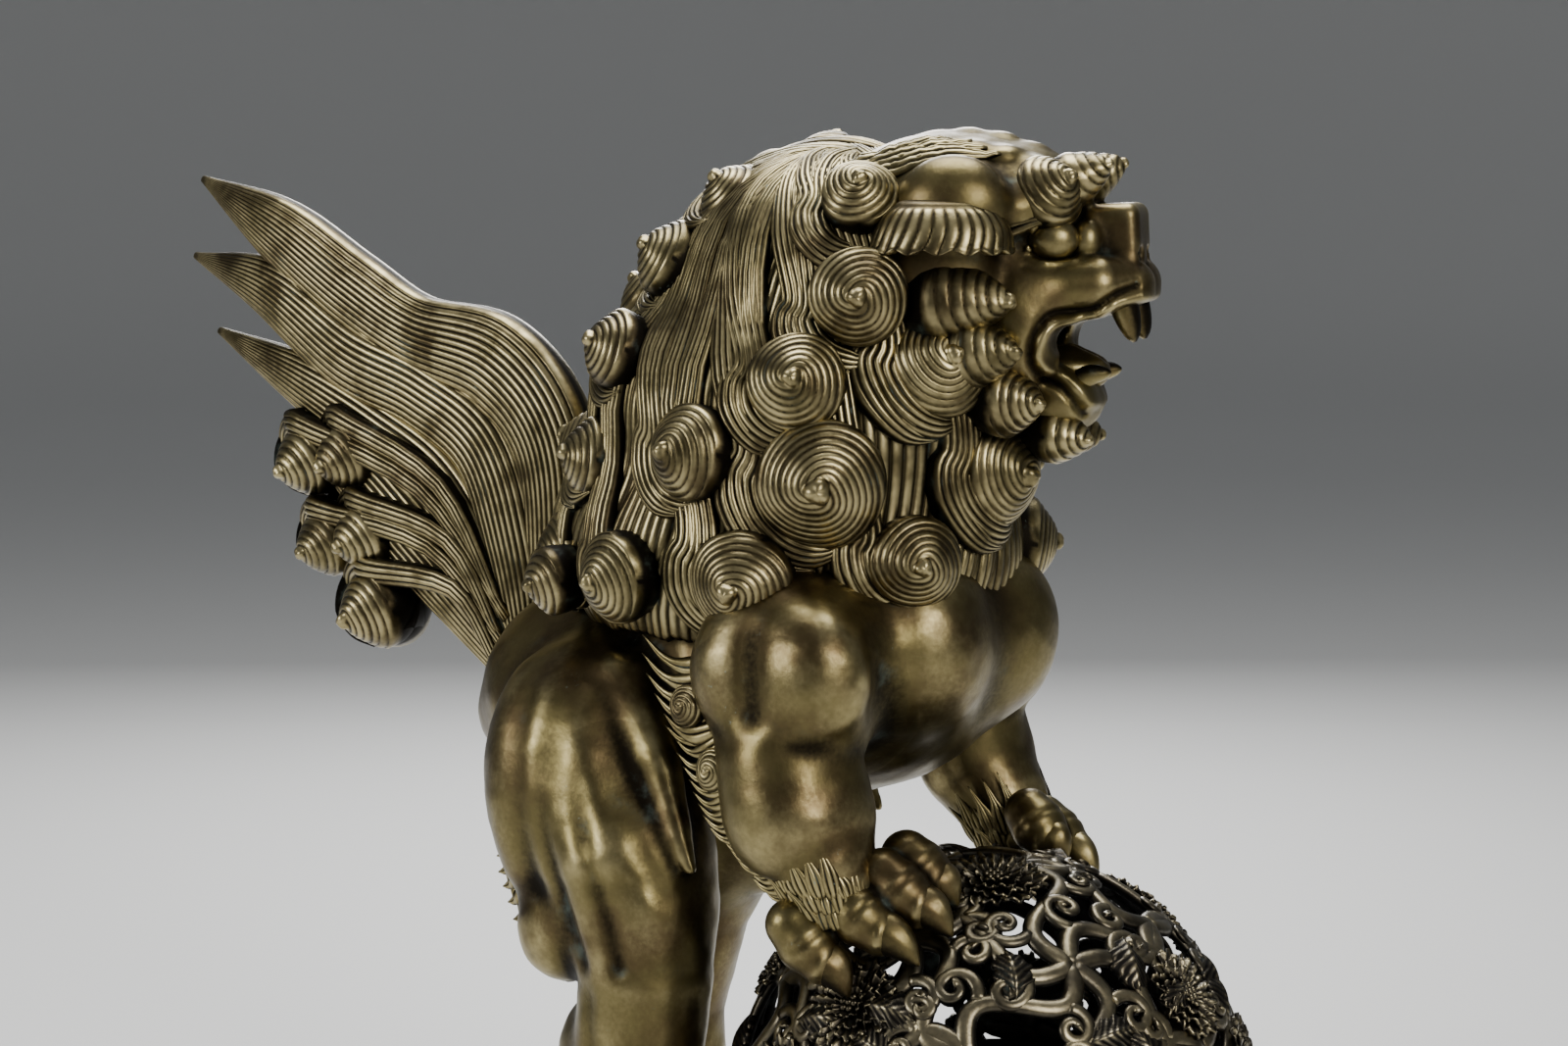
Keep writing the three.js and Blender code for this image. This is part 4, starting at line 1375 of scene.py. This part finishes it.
@dataclass
class Mane:
    """The bell of hair round the head: combed strands, long locks and rows of snail curls."""

    shop: Workshop
    middle: Point = (-80, 0, 330)
    crown: Point = (-52, 0, 452)
    hem: float = 273.0
    strands: int = 108
    fillet: float = 14.0
    masses: list[tuple[Point, Point]] = field(default_factory=lambda: [
        ((-90, 0, 300), (90, 74, 60)), ((-82, 0, 350), (80, 70, 56)), ((-66, 0, 394), (62, 55, 51)),
        ((-60, 0, 332), (52, 64, 48))])
    curls: list[Curl] = field(default_factory=lambda: [
        Curl((-31, -42, 431), 15, (0.4, -0.64, 0.65)), Curl((-24, -53, 395), 19, (0.51, -0.86, 0)),
        Curl((-41, -67, 365), 19, (0.42, -0.86, 0.2)), Curl((-5, -27, 371), 21, (0.75, -0.55, 0.3)),
        Curl((-32, -65, 329), 25, (0.5, -0.86, -0.07)), Curl((-6, -43, 301), 18, (0.72, -0.68, -0.05)),
        Curl((-58, -77, 293), 21, (0.2, -0.96, -0.15)), Curl((-82, -77, 339), 19, (-0.25, -0.95, 0.1)),
        Curl((-128, -60, 374), 16, (-0.5, -0.75, 0.35)), Curl((-117, -42, 407), 16, (-0.55, -0.6, 0.5)),
        Curl((-142, -57, 333), 16, (-0.6, -0.75, 0.2)), Curl((-114, -79, 292), 18, (-0.3, -0.93, -0.1)),
        Curl((-160, -48, 294), 18), Curl((-168, -24, 334), 17), Curl((-96, -30, 430), 15),
        Curl((-140, -22, 392), 14),
        Curl((-152, -68, 287), 14)])
    middle_curls: list[Curl] = field(default_factory=lambda: [
        Curl((3, 0, 330), 21, (1, -0.08, -0.04)), Curl((-134, 0, 412), 15), Curl((-172, 0, 300), 15)])
    far_curls: list[Curl] = field(default_factory=lambda: [
        Curl((-112, 22, 437), 14, (-0.45, 0.35, 0.82)), Curl((-88, 25, 444), 14, (-0.1, 0.45, 0.89))])

    def depth(self, points: Array) -> Array:
        """How far points lie outside the smooth bell of the mane."""
        total = None
        for centre, radii in self.masses:
            q = points - centre
            k0 = np.linalg.norm(q / radii, axis=-1)
            k1 = np.linalg.norm(q / np.square(radii), axis=-1)
            gap = k0 * (k0 - 1) / np.maximum(k1, 1e-5)
            if total is None:
                total = gap
                continue
            h = np.clip(0.5 + 0.5 * (gap - total) / self.fillet, 0, 1)
            total = gap * (1 - h) + total * h - self.fillet * h * (1 - h)
        return total

    def cast(self, ways: Array) -> Array:
        """Points of the bell in given directions from its middle."""
        ways = unit(ways)
        low, high = np.full(ways.shape[:-1], 5.0), np.full(ways.shape[:-1], 190.0)
        for _ in range(18):
            half = (low + high) / 2
            inside = self.depth(self.middle + ways * half[..., None]) < 0
            low, high = np.where(inside, half, low), np.where(inside, high, half)
        return self.middle + ways * low[..., None]

    def on_bell(self, points: Array) -> Array:
        """Points moved onto the bell."""
        return self.cast(np.asarray(points, float) - self.middle)

    def outward_at(self, points: Array) -> Array:
        """The bell's outward direction at points on it."""
        steps = np.eye(3) * 0.5
        return unit(np.stack([self.depth(points + s) - self.depth(points - s) for s in steps], axis=-1))

    def bell(self) -> Shape:
        """The combed hair under the curls, from the crown to the hem."""
        rows, columns = 150, 1008
        pole = unit(np.array(self.crown) - self.middle)
        side = unit(np.cross((0, 1, 0), pole))
        frame_axes = np.array([side, np.cross(pole, side), pole])
        around = np.arange(columns) / columns * TAU
        sweep = np.linspace(0, 2.75, 90)

        def fan(fall: Array, bearing: Array) -> Array:
            """Directions by the angle from the crown and the bearing round it."""
            rows = (np.sin(fall) * np.cos(bearing), np.sin(fall) * np.sin(bearing),
                    np.cos(fall) + 0 * bearing)
            return np.stack(rows, axis=-1) @ frame_axes

        z = self.cast(fan(sweep[:, None], around)[:, ::8])[..., 2]
        last = np.argmax(z < self.hem, axis=0)
        ends = np.interp(np.arange(columns), np.arange(0, columns + 8, 8),
                         np.append(sweep[last], sweep[last[0]]))
        down = np.linspace(0.03, 1, rows)[:, None] * ends[None, :]
        turn = around[None, :] + 0.10 * np.sin(2.3 * down + 3 * np.sin(around)[None, :]) * ease(down)
        points = self.cast(fan(down, turn))
        phase = around[None, :] / TAU * self.strands + 0.35 * np.sin(6 * around)[None, :]
        ridge = strand(phase)
        group = strand(phase / 7 + 0.25 * np.sin(3 * down))
        fade = ease((down - 0.10) / 0.35)
        lift = fade * (1.3 * ridge + 2.0 * group)
        points = points + self.outward_at(points) * (lift - 1.2)[..., None]
        relief = np.clip(0.12 + fade * ridge * (0.45 + 0.4 * group), 0, 1)
        under = np.stack([points[-1] + (np.array(self.middle) - points[-1]) * (f, f, 0) + (0, 0, dz)
                          for f, dz in ((0.03, -1.5), (0.16, 0.5), (0.45, 6))])
        return tube(np.concatenate([points, under]), np.concatenate([relief, np.zeros((3, columns))]))

    def snail(self, curl: Curl) -> Shape:
        """A curl with the lock of hair that runs down from the crown and winds round it."""
        foot = np.array(curl.foot, float)
        facing = unit(curl.facing) if curl.facing else self.outward_at(self.on_bell(foot[None]))[0]
        axes = axes_for(facing)
        radius = curl.radius
        arms = max(4, round(radius / 3.6))
        shell = whorl(radius * 0.93, radius * 0.70, arms, 2.5, radius * 0.7)
        shell = shell.moved(foot - facing * radius * 0.05, axes)
        return joined([shell, self.feeder(curl, axes, 1.0, 0.0), self.feeder(curl, axes, 1.28, 0.22)])

    def feeder(self, curl: Curl, axes: Array, away: float, late: float) -> Shape:
        """The lock that feeds a curl.

        Args:
            curl: The curl.
            axes: Its rows right, up and out.
            away: Distance from the curl's middle, in radii.
            late: How far round (0 to 1) the lock leaves the curl early.

        Returns:
            The lock.
        """
        foot, radius = np.array(curl.foot, float), curl.radius
        sign = -1.0 if foot[1] < 0 else 0.0
        start = np.array(self.crown) + (-48 * late, sign * (10 + 10 * late), -4 - 10 * late)
        turns = np.radians(np.linspace(150, 300 - 150 * late, 6))
        wrap = [foot + radius * away * 1.02 * (axes[0] * math.cos(a) + axes[1] * math.sin(a)) for a in turns]
        gap = wrap[0] - start
        back = np.array([-1.0, 0, 0]) * min(18.0, 0.16 * float(np.linalg.norm(gap)))
        knots = [start, start + gap * 0.35 + back, start + gap * 0.72 + back * 0.8, *wrap]
        path = self.on_bell(spline(knots, 44))
        near = ease((np.linspace(0, 1, 44) - 0.45) / 0.3)[:, None]
        outs = unit(self.outward_at(path) * (1 - 0.55 * near) + axes[2] * 0.55 * near)
        path = path + outs * (2.2 + 1.6 * near)
        stops = [(0, 5), (0.25, radius * 0.6), (0.6, radius * 0.78), (0.85, radius * 0.55), (1, 1.2)]
        widths = ramp(stops, np.linspace(0, 1, 44))
        return lock(path, outs, widths, max(3, round(radius * 0.25)), rise=3.4, depth=6, groove=1.3)

    def parting(self) -> Shape:
        """The broad locks that lie along the top of the neck, from the crown to the withers."""
        locks = []
        for y in (-13, 13, 0):
            knots = [(-34, 0.5 * y, 455), (-60, y, 452), (-100, y, 436), (-136, y, 400), (-160, y, 350),
                     (-174, y, 300)]
            path = self.on_bell(spline(knots, 50))
            outs = self.outward_at(path)
            widths = ramp([(0, 4), (0.2, 15), (0.8, 17), (1, 6)], np.linspace(0, 1, 50))
            locks.append(lock(path + outs * (1.4 if y else 2.6), outs, widths, 5, rise=2.6, depth=6,
                              groove=1.2))
        return joined(locks)

    def build(self) -> None:
        """Sets up the bell and the curls of both sides."""
        self.shop.set_up("mane", self.bell(), HAIR_BRONZE, Body.STATUE, ["mane_casting"])
        for side in Side:
            for k, curl in enumerate(self.curls, 1):
                if side is Side.LEFT and k in (1, 2):
                    curl = Curl((curl.foot[0] - 4, curl.foot[1], curl.foot[2]), curl.radius, curl.facing)
                shape = self.snail(curl)
                shape = shape.on(side).moved((0 if side is Side.RIGHT else -6, 0, 0), np.eye(3))
                self.shop.set_up(f"{side.word} mane curl {k}", shape, HAIR_BRONZE, Body.STATUE)
        self.shop.set_up("mane parting", self.parting(), HAIR_BRONZE, Body.STATUE)
        for k, curl in enumerate(self.middle_curls + self.far_curls, 1):
            self.shop.set_up(f"middle mane curl {k}", self.snail(curl), HAIR_BRONZE, Body.STATUE)


# --- Tail ------------------------------------------------------------------------------------------


@dataclass
class Tail:
    """The flame tail: blades of combed hair that overlap, and whelk curls along its lower edge."""

    shop: Workshop
    thick: float = 20.0
    pitch: float = 3.1
    blades: list[list[Point]] = field(default_factory=lambda: [
        [(-208, 240, 24), (-200, 290, 34), (-204, 333, 40), (-230, 360, 42), (-272, 371, 34),
         (-306, 388, 34),
         (-346, 412, 28), (-389, 433, 3)],
        [(-212, 239, 24), (-221, 290, 34), (-236, 328, 36), (-268, 348, 34), (-306, 362, 34),
         (-350, 388, 26),
         (-394, 401, 3)],
        [(-215, 238, 22), (-238, 282, 32), (-260, 312, 34), (-292, 331, 32), (-332, 350, 24),
         (-381, 370, 3)],
        [(-217, 236, 18), (-246, 266, 32), (-276, 294, 40), (-300, 314, 34), (-326, 326, 14)],
    ])
    curls: list[Point] = field(default_factory=lambda: [
        (-328, 318, 15), (-306, 321, 15), (-318, 285, 14), (-297, 289, 15), (-292, 260, 17)])

    def blade(self, stations: Sequence[Vec], thick: float) -> Shape:
        """One blade with combed faces: stations are (x, z, width) along it, at y = 0."""
        curve = spline(stations, 90)
        path = np.stack([curve[:, 0], np.zeros(90), curve[:, 1]], axis=1)
        widths = np.maximum(curve[:, 2], 1.5)
        along = unit(np.gradient(path, axis=0))
        out = np.array([0.0, -1.0, 0.0])
        across = unit(np.cross(out, along))
        count = round(widths.max() / self.pitch)
        half = np.linspace(-1, 1, count * 7 + 1)
        u = np.concatenate([half, half[-2:0:-1]])
        face = np.concatenate([np.ones(len(half)), -np.ones(len(half) - 2)])
        ridge = strand((u + 1) / 2 * count)
        scale = (widths / widths.max())[:, None] ** 0.7
        crown = np.sqrt(np.clip(1 - u**2, 0, 1)) ** 0.8
        lift = scale * (thick / 2 * crown + 1.0 * ridge * np.minimum(crown * 2, 1))
        rings = (path[:, None] + across[:, None] * (widths[:, None] / 2 * u)[..., None]
                 + out * (lift * face)[..., None])
        return tube(rings, np.broadcast_to(0.08 + 0.85 * ridge, lift.shape))

    def curl(self, x: float, z: float, radius: float) -> Shape:
        """A whelk curl on the right face, with the lock that runs over it."""
        facing = unit((-0.38, -0.88, -0.28))
        axes = axes_for(facing)
        foot = np.array([x, -5.0, z])
        shell = whorl(radius, radius, 3, 2.6, radius * 0.8).moved(foot, axes)
        turns = np.radians(np.linspace(70, 250, 7))
        wrap = [foot + radius * 1.05 * (axes[0] * math.cos(a) + axes[1] * math.sin(a)) for a in turns]
        start = np.array([-224.0 - 0.10 * (x + 300), -7.5, 241.0 + 0.35 * (z - 260)])
        middle = (start + wrap[0]) / 2 + (12, -2.5, 13)
        path = spline([start, middle, *wrap], 40)
        outs = unit(np.array([0, -1.0, 0]) + axes[2] * np.linspace(0, 1, 40)[:, None])
        widths = ramp([(0, 6), (0.35, radius * 0.8), (0.75, radius * 0.6), (1, 1.5)], np.linspace(0, 1, 40))
        return joined([shell, lock(path, outs, widths, 4, rise=3.0, depth=6, groove=1.0)])

    def build(self) -> None:
        """Sets up the blades and the curls."""
        shapes = [self.blade(b, self.thick - 1.6 * k) for k, b in enumerate(self.blades)]
        self.shop.set_up("tail plume", joined(shapes), HAIR_BRONZE, Body.TAIL, ["tail_plume"])
        for side in Side:
            for k, place in enumerate(self.curls, 1):
                self.shop.set_up(f"{side.word} tail curl {k}", self.curl(*place).on(side), HAIR_BRONZE,
                                 Body.TAIL)


# --- Ball ------------------------------------------------------------------------------------------


@dataclass
class OpenworkBall:
    """The hollow ball: scrolling stems, curled tendrils, leaves and ruffled peonies with gaps between."""

    shop: Workshop
    middle: Point = (0, 0, 95.5)
    radius: float = 93.0
    reach: float = 98.5
    stem: float = 3.0
    petal_rings: tuple[tuple[float, float, float, int], ...] = (
        (1.0, 0.0, 2.2, 7), (0.80, 0.8, 3.4, 6), (0.58, 1.6, 4.4, 5), (0.36, 2.2, 5.2, 4))
    side_peonies: dict[str, tuple[float, float]] = field(default_factory=lambda: {
        "front": (12, 22.5), "right front": (14, -67.5), "left front": (14, 67.5),
        "right back": (12, -112.5), "left back": (12, 112.5), "back": (12, 157.5)})
    top_peonies: list[Point] = field(default_factory=lambda: [
        (74, -58, 19), (34, 2, 17), (34, -97, 18), (48, 60, 17), (50, 150, 18), (36, -150, 17)])

    def sphere(self, lat: float, lon: float) -> Array:
        """The direction at a latitude and longitude in degrees; longitude 0 is forward."""
        a, b = math.radians(lat), math.radians(lon)
        return np.array([math.cos(a) * math.cos(b), math.cos(a) * math.sin(b), math.sin(a)])

    def lattice(self) -> tuple[Array, list[tuple[int, int]]]:
        """Where the scrolls start and which of them the stems join: an icosahedron, halved once."""
        g = (1 + math.sqrt(5)) / 2
        corners = [np.array(p) for a in (-1, 1) for b in (-g, g) for p in ((0, a, b), (a, b, 0), (b, 0, a))]
        knots = [unit(c) for c in corners]
        pairs = [(i, j) for i, j in combinations(range(12), 2)
                 if np.linalg.norm(corners[i] - corners[j]) < 2.1]
        middles = {pair: 12 + n for n, pair in enumerate(pairs)}
        knots += [unit(knots[i] + knots[j]) for i, j in pairs]
        links = []
        for (i, j), m in middles.items():
            links += [(i, m), (m, j)]
        for corner in combinations(range(12), 3):
            sides = list(combinations(corner, 2))
            if all(pair in middles for pair in sides):
                links += combinations([middles[pair] for pair in sides], 2)
        tilt = np.array([[0.927, 0.0, 0.375], [0.116, 0.951, -0.287], [-0.357, 0.309, 0.881]])
        return unit(np.array(knots) @ tilt), sorted({tuple(sorted(p)) for p in links})

    def strap(self, ways: Array, radii: Array, lift: Array) -> Shape:
        """A flattened stem over the ball along directions, with a ridged back."""
        ways = unit(ways)
        return rod(ways * (self.radius + lift)[:, None], radii * 1.12, 12, 0.62, ways)

    def spiral(self, start: Array, heading: Array, size: float, hand: int) -> Shape:
        """A tendril that leaves a stem and rolls up into a small volute.

        Args:
            start: Direction of its root.
            heading: Direction along the ball in which it sets out.
            size: Size of the roll in millimetres.
            hand: 1 rolls up to the left, -1 to the right.

        Returns:
            The tendril.
        """
        heading = unit(heading - start * (heading @ start))
        left = np.cross(start, heading)
        t = np.linspace(0, 1, 34)
        angle = hand * 8.4 * t**1.15
        step = size * (1 - 0.80 * t) * 0.27
        x = np.cumsum(step * np.cos(angle))
        y = np.cumsum(step * np.sin(angle))
        ways = start + (heading * x[:, None] + left * y[:, None]) / self.radius
        radii = ramp([(0, 2.5), (0.5, 2.1), (0.85, 1.5), (1, 2.5)], t)
        return self.strap(ways, radii, 1.0 + 1.8 * t)

    def leaf(self, start: Array, heading: Array, long: float, bend: float) -> Shape:
        """An acanthus leaf with lobed edges, a midrib and veins.

        Args:
            start: Direction of its root.
            heading: Direction along the ball in which it grows.
            long: Its length in millimetres.
            bend: How far its tip swings to the left.

        Returns:
            The leaf.
        """
        heading = unit(heading - start * (heading @ start))
        left = np.cross(start, heading)
        t = np.linspace(0, 1, 44)[:, None]
        u = np.linspace(-1, 1, 15)[None, :]
        lobes = 0.72 + 0.28 * np.abs(np.sin(t * math.pi * 4.2)) ** 0.6
        half = long * 0.34 * np.sin(math.pi * np.clip(t * 0.94 + 0.06, 0, 1)) ** 0.75 * lobes + 0.25
        x = long * t + long * 0.10 * np.abs(u) * np.sin(math.pi * t)
        y = half * u + bend * long * t**2
        vein = np.cos(TAU * (t * 8 - np.abs(u) * 1.8))
        lift = 1.6 + 3.2 * np.sin(math.pi * t) * (1 - 0.8 * u**2) + np.exp(-((u / 0.16) ** 2))
        lift = lift + 0.45 * vein * np.abs(u)
        ways = unit(start + (heading * x[..., None] + left * y[..., None]) / self.radius)
        front = ways * (self.radius + lift)[..., None]
        back = ways * (self.radius + lift - 1.8)[..., None]
        return slab(front, back, np.clip(0.35 + 0.4 * np.exp(-((u / 0.2) ** 2)) + 0.35 * vein, 0, 1) + 0 * t)

    def peony(self, at: Array, size: float, seed: int) -> Shape:
        """A peony: ruffled rings of toothed petals round a beaded heart.

        Args:
            at: Direction of its middle.
            size: Its radius in millimetres.
            seed: Turns its petals.

        Returns:
            The flower.
        """
        axes = axes_for(at)
        rings = []
        theta = np.arange(240) / 240 * TAU
        for layer, (share, low, high, petals) in enumerate(self.petal_rings):
            turn = seed * 0.7 + layer * 0.55
            rho = np.concatenate([np.linspace(0.04, 1, 16), np.linspace(1, 0.04, 9)])[:, None]
            under = np.concatenate([np.zeros(16), np.full(9, 1.0)])[:, None]
            petal = np.abs(np.sin((theta - turn) * petals / 2))[None, :] ** 0.5
            teeth = 0.045 * np.sign(np.sin(theta * petals * 4))[None, :] * ease((rho - 0.8) / 0.2)
            spread = size * share * rho * (0.80 + 0.20 * petal + teeth)
            ruffle = np.sin(theta * petals * 2 + layer)[None, :] * 0.9 * rho**3
            fold = 0.55 * np.cos(theta * petals * 4)[None, :] * rho * (1 - under)
            z = low + (high - low) * rho**2.4 + ruffle + fold - under * (1.3 + 0.6 * low * (1 - rho))
            tops = np.stack([spread * np.cos(theta), spread * np.sin(theta), z + 0 * spread], axis=-1)
            veins = np.cos(theta * petals * 4)[None, :] * rho
            # Painted shade: the relief falls towards the flower's heart and on the petals' undersides, which
            # the finish paints dark.
            relief = np.clip(0.15 + 0.6 * rho**2 + 0.3 * veins, 0, 1)
            rings.append(tube(tops, relief * (1 - 0.6 * under)))
        beads = [pebble((r * math.cos(a), r * math.sin(a), 3.6), (1.3, 1.3, 1.3))
                 for r, count in ((0, 1), (2.6, 6)) for a in np.arange(count) / count * TAU]
        flower = joined([*rings, *beads])
        shape = flower.moved(unit(at) * (self.radius + 0.2), axes)
        far = np.linalg.norm(shape.points, axis=1)
        shape.points *= np.minimum(1, self.reach / np.maximum(far, 1))[:, None]
        return shape

    def seated(self, shape: Shape) -> Shape:
        """A shape about the ball's middle, set in its place; the foot is filed flat."""
        points = shape.points + self.middle
        foot = points[:, 2] < 1.5
        points[foot, 2] = np.maximum(points[foot, 2], 0.15 + 0.05 * (points[foot, 2] + 6))
        return Shape(points, shape.quads, shape.tris, shape.relief)

    def build(self) -> None:
        """Sets up both halves and their flowers."""
        knots, links = self.lattice()
        rng = np.random.default_rng(5)
        halves: dict[bool, list[Shape]] = {True: [], False: []}
        for n, (i, j) in enumerate(links):
            a, b = knots[i], knots[j]
            t = np.linspace(0, 1, 26)[:, None]
            side = unit(np.cross(a, b))
            sway = (0.11 if n % 2 else -0.11) * np.sin(TAU * t)
            ways = unit(a * (1 - t) + b * t) + side * sway
            radii = ramp([(0, 3.6), (0.5, self.stem), (1, 3.6)], t[:, 0])
            upper = bool((a + b)[2] > 0)
            halves[upper].append(self.strap(ways, radii, 0.6 * np.sin(math.pi * t[:, 0])))
            for place, hand in ((7, 1 if n % 2 else -1), (18, -1 if n % 2 else 1)):
                start = unit(ways[place])
                run = ways[place + 1] - ways[place - 1]
                way = unit(run) + side * (0.8 if (place == 7) == bool(n % 2) else -0.8)
                halves[upper].append(self.spiral(start, way, rng.uniform(5.4, 7.6), hand))
            if n % 3 != 1:
                start = unit(ways[12])
                way = unit(ways[14] - ways[10]) * 0.7 + side * rng.choice((-1.0, 1.0))
                halves[upper].append(self.leaf(start, way, rng.uniform(19, 26), rng.uniform(-0.3, 0.3)))
        for k, (where, place) in enumerate(self.side_peonies.items()):
            name = f"peony {where}"
            flower = self.seated(self.peony(self.sphere(*place), 20, k))
            self.shop.set_up(name, flower, BALL_BRONZE, Body.BALL, [name.replace(" ", "_")])
        for k, (lat, lon, size) in enumerate(self.top_peonies):
            halves[True].append(self.peony(self.sphere(lat, lon), size, k + 7))
        for k in range(6):
            halves[False].append(self.peony(self.sphere(-34, 60 * k + 20), 18, k + 13))
        for upper, word in ((True, "upper"), (False, "lower")):
            half = self.seated(joined(halves[upper]))
            self.shop.set_up(f"ball {word} openwork", half, BALL_BRONZE, Body.BALL, [f"ball_{word}_shell"])


# --- Studio and camera -----------------------------------------------------------------------------


@dataclass
class Studio:
    """A pale floor under soft light, and the camera at three quarters from the front right."""

    shop: Workshop
    lens: float = 85.0
    eye: Point = (700.5, -1133.5, 451.7)
    azimuth: float = 35.0
    elevation: float = 6.0

    def floor(self) -> None:
        """A wide pale floor that sweeps up all round, well outside the lamps."""
        profile = spline([(0.01, 0), (1500, 0), (3800, 0), (5200, 260), (6000, 1500), (6200, 4200)], 60)
        turn = np.arange(96) / 96 * TAU
        ring = np.stack([np.cos(turn), np.sin(turn)], axis=1)
        sheet = np.zeros((60, 96, 3))
        sheet[..., :2] = profile[:, None, :1] * ring
        sheet[..., 2] = np.maximum(profile[:, None, 1], 0)
        mesh = bpy.data.meshes.new("floor")
        faces = sheet_quads(60, 96, True)[:, ::-1]
        mesh.from_pydata((sheet.reshape(-1, 3) / 1000).tolist(), [], faces.tolist())
        mesh.shade_smooth()
        mesh.update()
        obj = linked("floor", mesh)
        mat = bpy.data.materials.new("pale floor")
        mat.use_nodes = True
        nodes, link = mat.node_tree.nodes, mat.node_tree.links.new
        noise = nodes.new("ShaderNodeTexNoise")
        noise.inputs["Scale"].default_value = 3.0
        ramp_node = nodes.new("ShaderNodeValToRGB")
        ramp_node.color_ramp.elements[0].color = (0.60, 0.60, 0.59, 1)
        ramp_node.color_ramp.elements[1].color = (0.66, 0.66, 0.65, 1)
        link(noise.outputs["Fac"], ramp_node.inputs["Fac"])
        link(ramp_node.outputs["Color"], nodes["Principled BSDF"].inputs["Base Color"])
        nodes["Principled BSDF"].inputs["Roughness"].default_value = 0.7
        mesh.materials.append(mat)
        obj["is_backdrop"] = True

    def lamp(self, name: str, place: Vec, size: float, watts: float, colour: Vec = (1, 1, 1)) -> None:
        """A soft square light that looks at the statue.

        Args:
            name: The lamp's name.
            place: Where it hangs, in workshop millimetres.
            size: Its side in metres.
            watts: Its power.
            colour: Its colour.
        """
        data = bpy.data.lights.new(name, "AREA")
        data.size, data.energy, data.color = size, watts, colour
        obj = linked(name, data)
        at, aim = Vector(self.shop.row(place)), Vector(self.shop.row((-80, 0, 260)))
        obj.location = at
        obj.rotation_euler = (aim - at).to_track_quat("-Z", "Y").to_euler()
        obj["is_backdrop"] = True

    def build(self) -> None:
        """Lays the floor, hangs the lamps and sets the camera."""
        self.floor()
        self.lamp("high softbox", (-250, 250, 1500), 0.9, 26)
        self.lamp("front softbox", (1250, -700, 900), 0.7, 17, (1.0, 0.97, 0.92))
        self.lamp("side softbox", (-900, -1300, 700), 0.6, 11)
        self.lamp("back rim", (-900, 1100, 900), 0.6, 16)
        world = bpy.data.worlds.new("studio")
        world.use_nodes = True
        world.node_tree.nodes["Background"].inputs["Color"].default_value = (0.75, 0.78, 0.82, 1)
        world.node_tree.nodes["Background"].inputs["Strength"].default_value = 0.28
        bpy.context.scene.world = world
        camera = bpy.data.cameras.new("camera")
        camera.lens, camera.sensor_width = self.lens, 36.0
        camera.clip_start, camera.clip_end = 0.05, 30
        obj = linked("camera", camera)
        obj.location = self.shop.row(self.eye)
        a, e = math.radians(self.azimuth), math.radians(self.elevation)
        forward = Vector((-math.sin(a) * math.cos(e), math.cos(a) * math.cos(e), -math.sin(e)))
        obj.rotation_euler = forward.to_track_quat("-Z", "Y").to_euler()
        bpy.context.scene.camera = obj


# --- The statue ------------------------------------------------------------------------------------


def paws(shop: Workshop) -> None:
    """Sets up the front paws, the left one a little further back and closer in, and the hind feet."""
    heels = [(-33, 87, 180), (-22, 76, 188), (-11, 64, 196), (-8, 51, 200)]
    tips = [(-8, 82, 152), (14, 71, 164), (20, 59, 173), (14, 46, 181)]
    for side in Side:
        back, inward = (0, 0) if side is Side.RIGHT else (-8, 4)

        def put(point: Vec) -> Point:
            """A point of the right paw's pattern on this side."""
            return (point[0] + back, side.value * (point[1] - inward), point[2])

        root = put((-20, 70, 184))
        Paw(shop, f"{side.word} paw", root, [put(p) for p in heels], [put(p) for p in tips],
            (14, 15, 10)).build()
        x, y = (-132, -64) if side is Side.RIGHT else (-172, 62)
        foot_heels = [(x, y + 5.5 * k, 19 - 1.2 * abs(k)) for k in (-3, -1, 1, 3)]
        foot_tips = [(x + 42 - 2.2 * abs(k), y + 7.5 * k, 5.5) for k in (-3, -1, 1, 3)]
        Paw(shop, f"{side.word} hind foot", (x - 2, y, 15), foot_heels, foot_tips, (30, 21, 14), 9.4).build()


def main() -> None:
    """Builds the statue and its studio."""
    logging.basicConfig(level=logging.INFO, format="%(name)s: %(message)s")
    cad_box = [list(corner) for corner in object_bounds()]
    shop = Workshop()
    BodyCastings(shop).build()
    paws(shop)
    Fur(shop).build()
    HeadCasting(shop).build()
    Mane(shop).build()
    Tail(shop).build()
    OpenworkBall(shop).build()
    rub_on_cad(["tail_tenon", "tail_socket"], BODY_BRONZE)
    rub_on_cad(["ball_seam_ring", "right_paw_peg", "left_paw_peg"], BALL_BRONZE)
    pins = [f"{row}_mane_pin_{side.word}" for row in ("front", "rear") for side in Side]
    rub_on_cad(pins, FITTING_BRASS)
    Studio(shop).build()
    bpy.context.view_layer.update()
    visual_box = [list(corner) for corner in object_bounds()]
    LOG.info("%d pieces made; CAD box %s, visual box %s", shop.pieces, cad_box, visual_box)


if __name__ == "__main__":
    main()
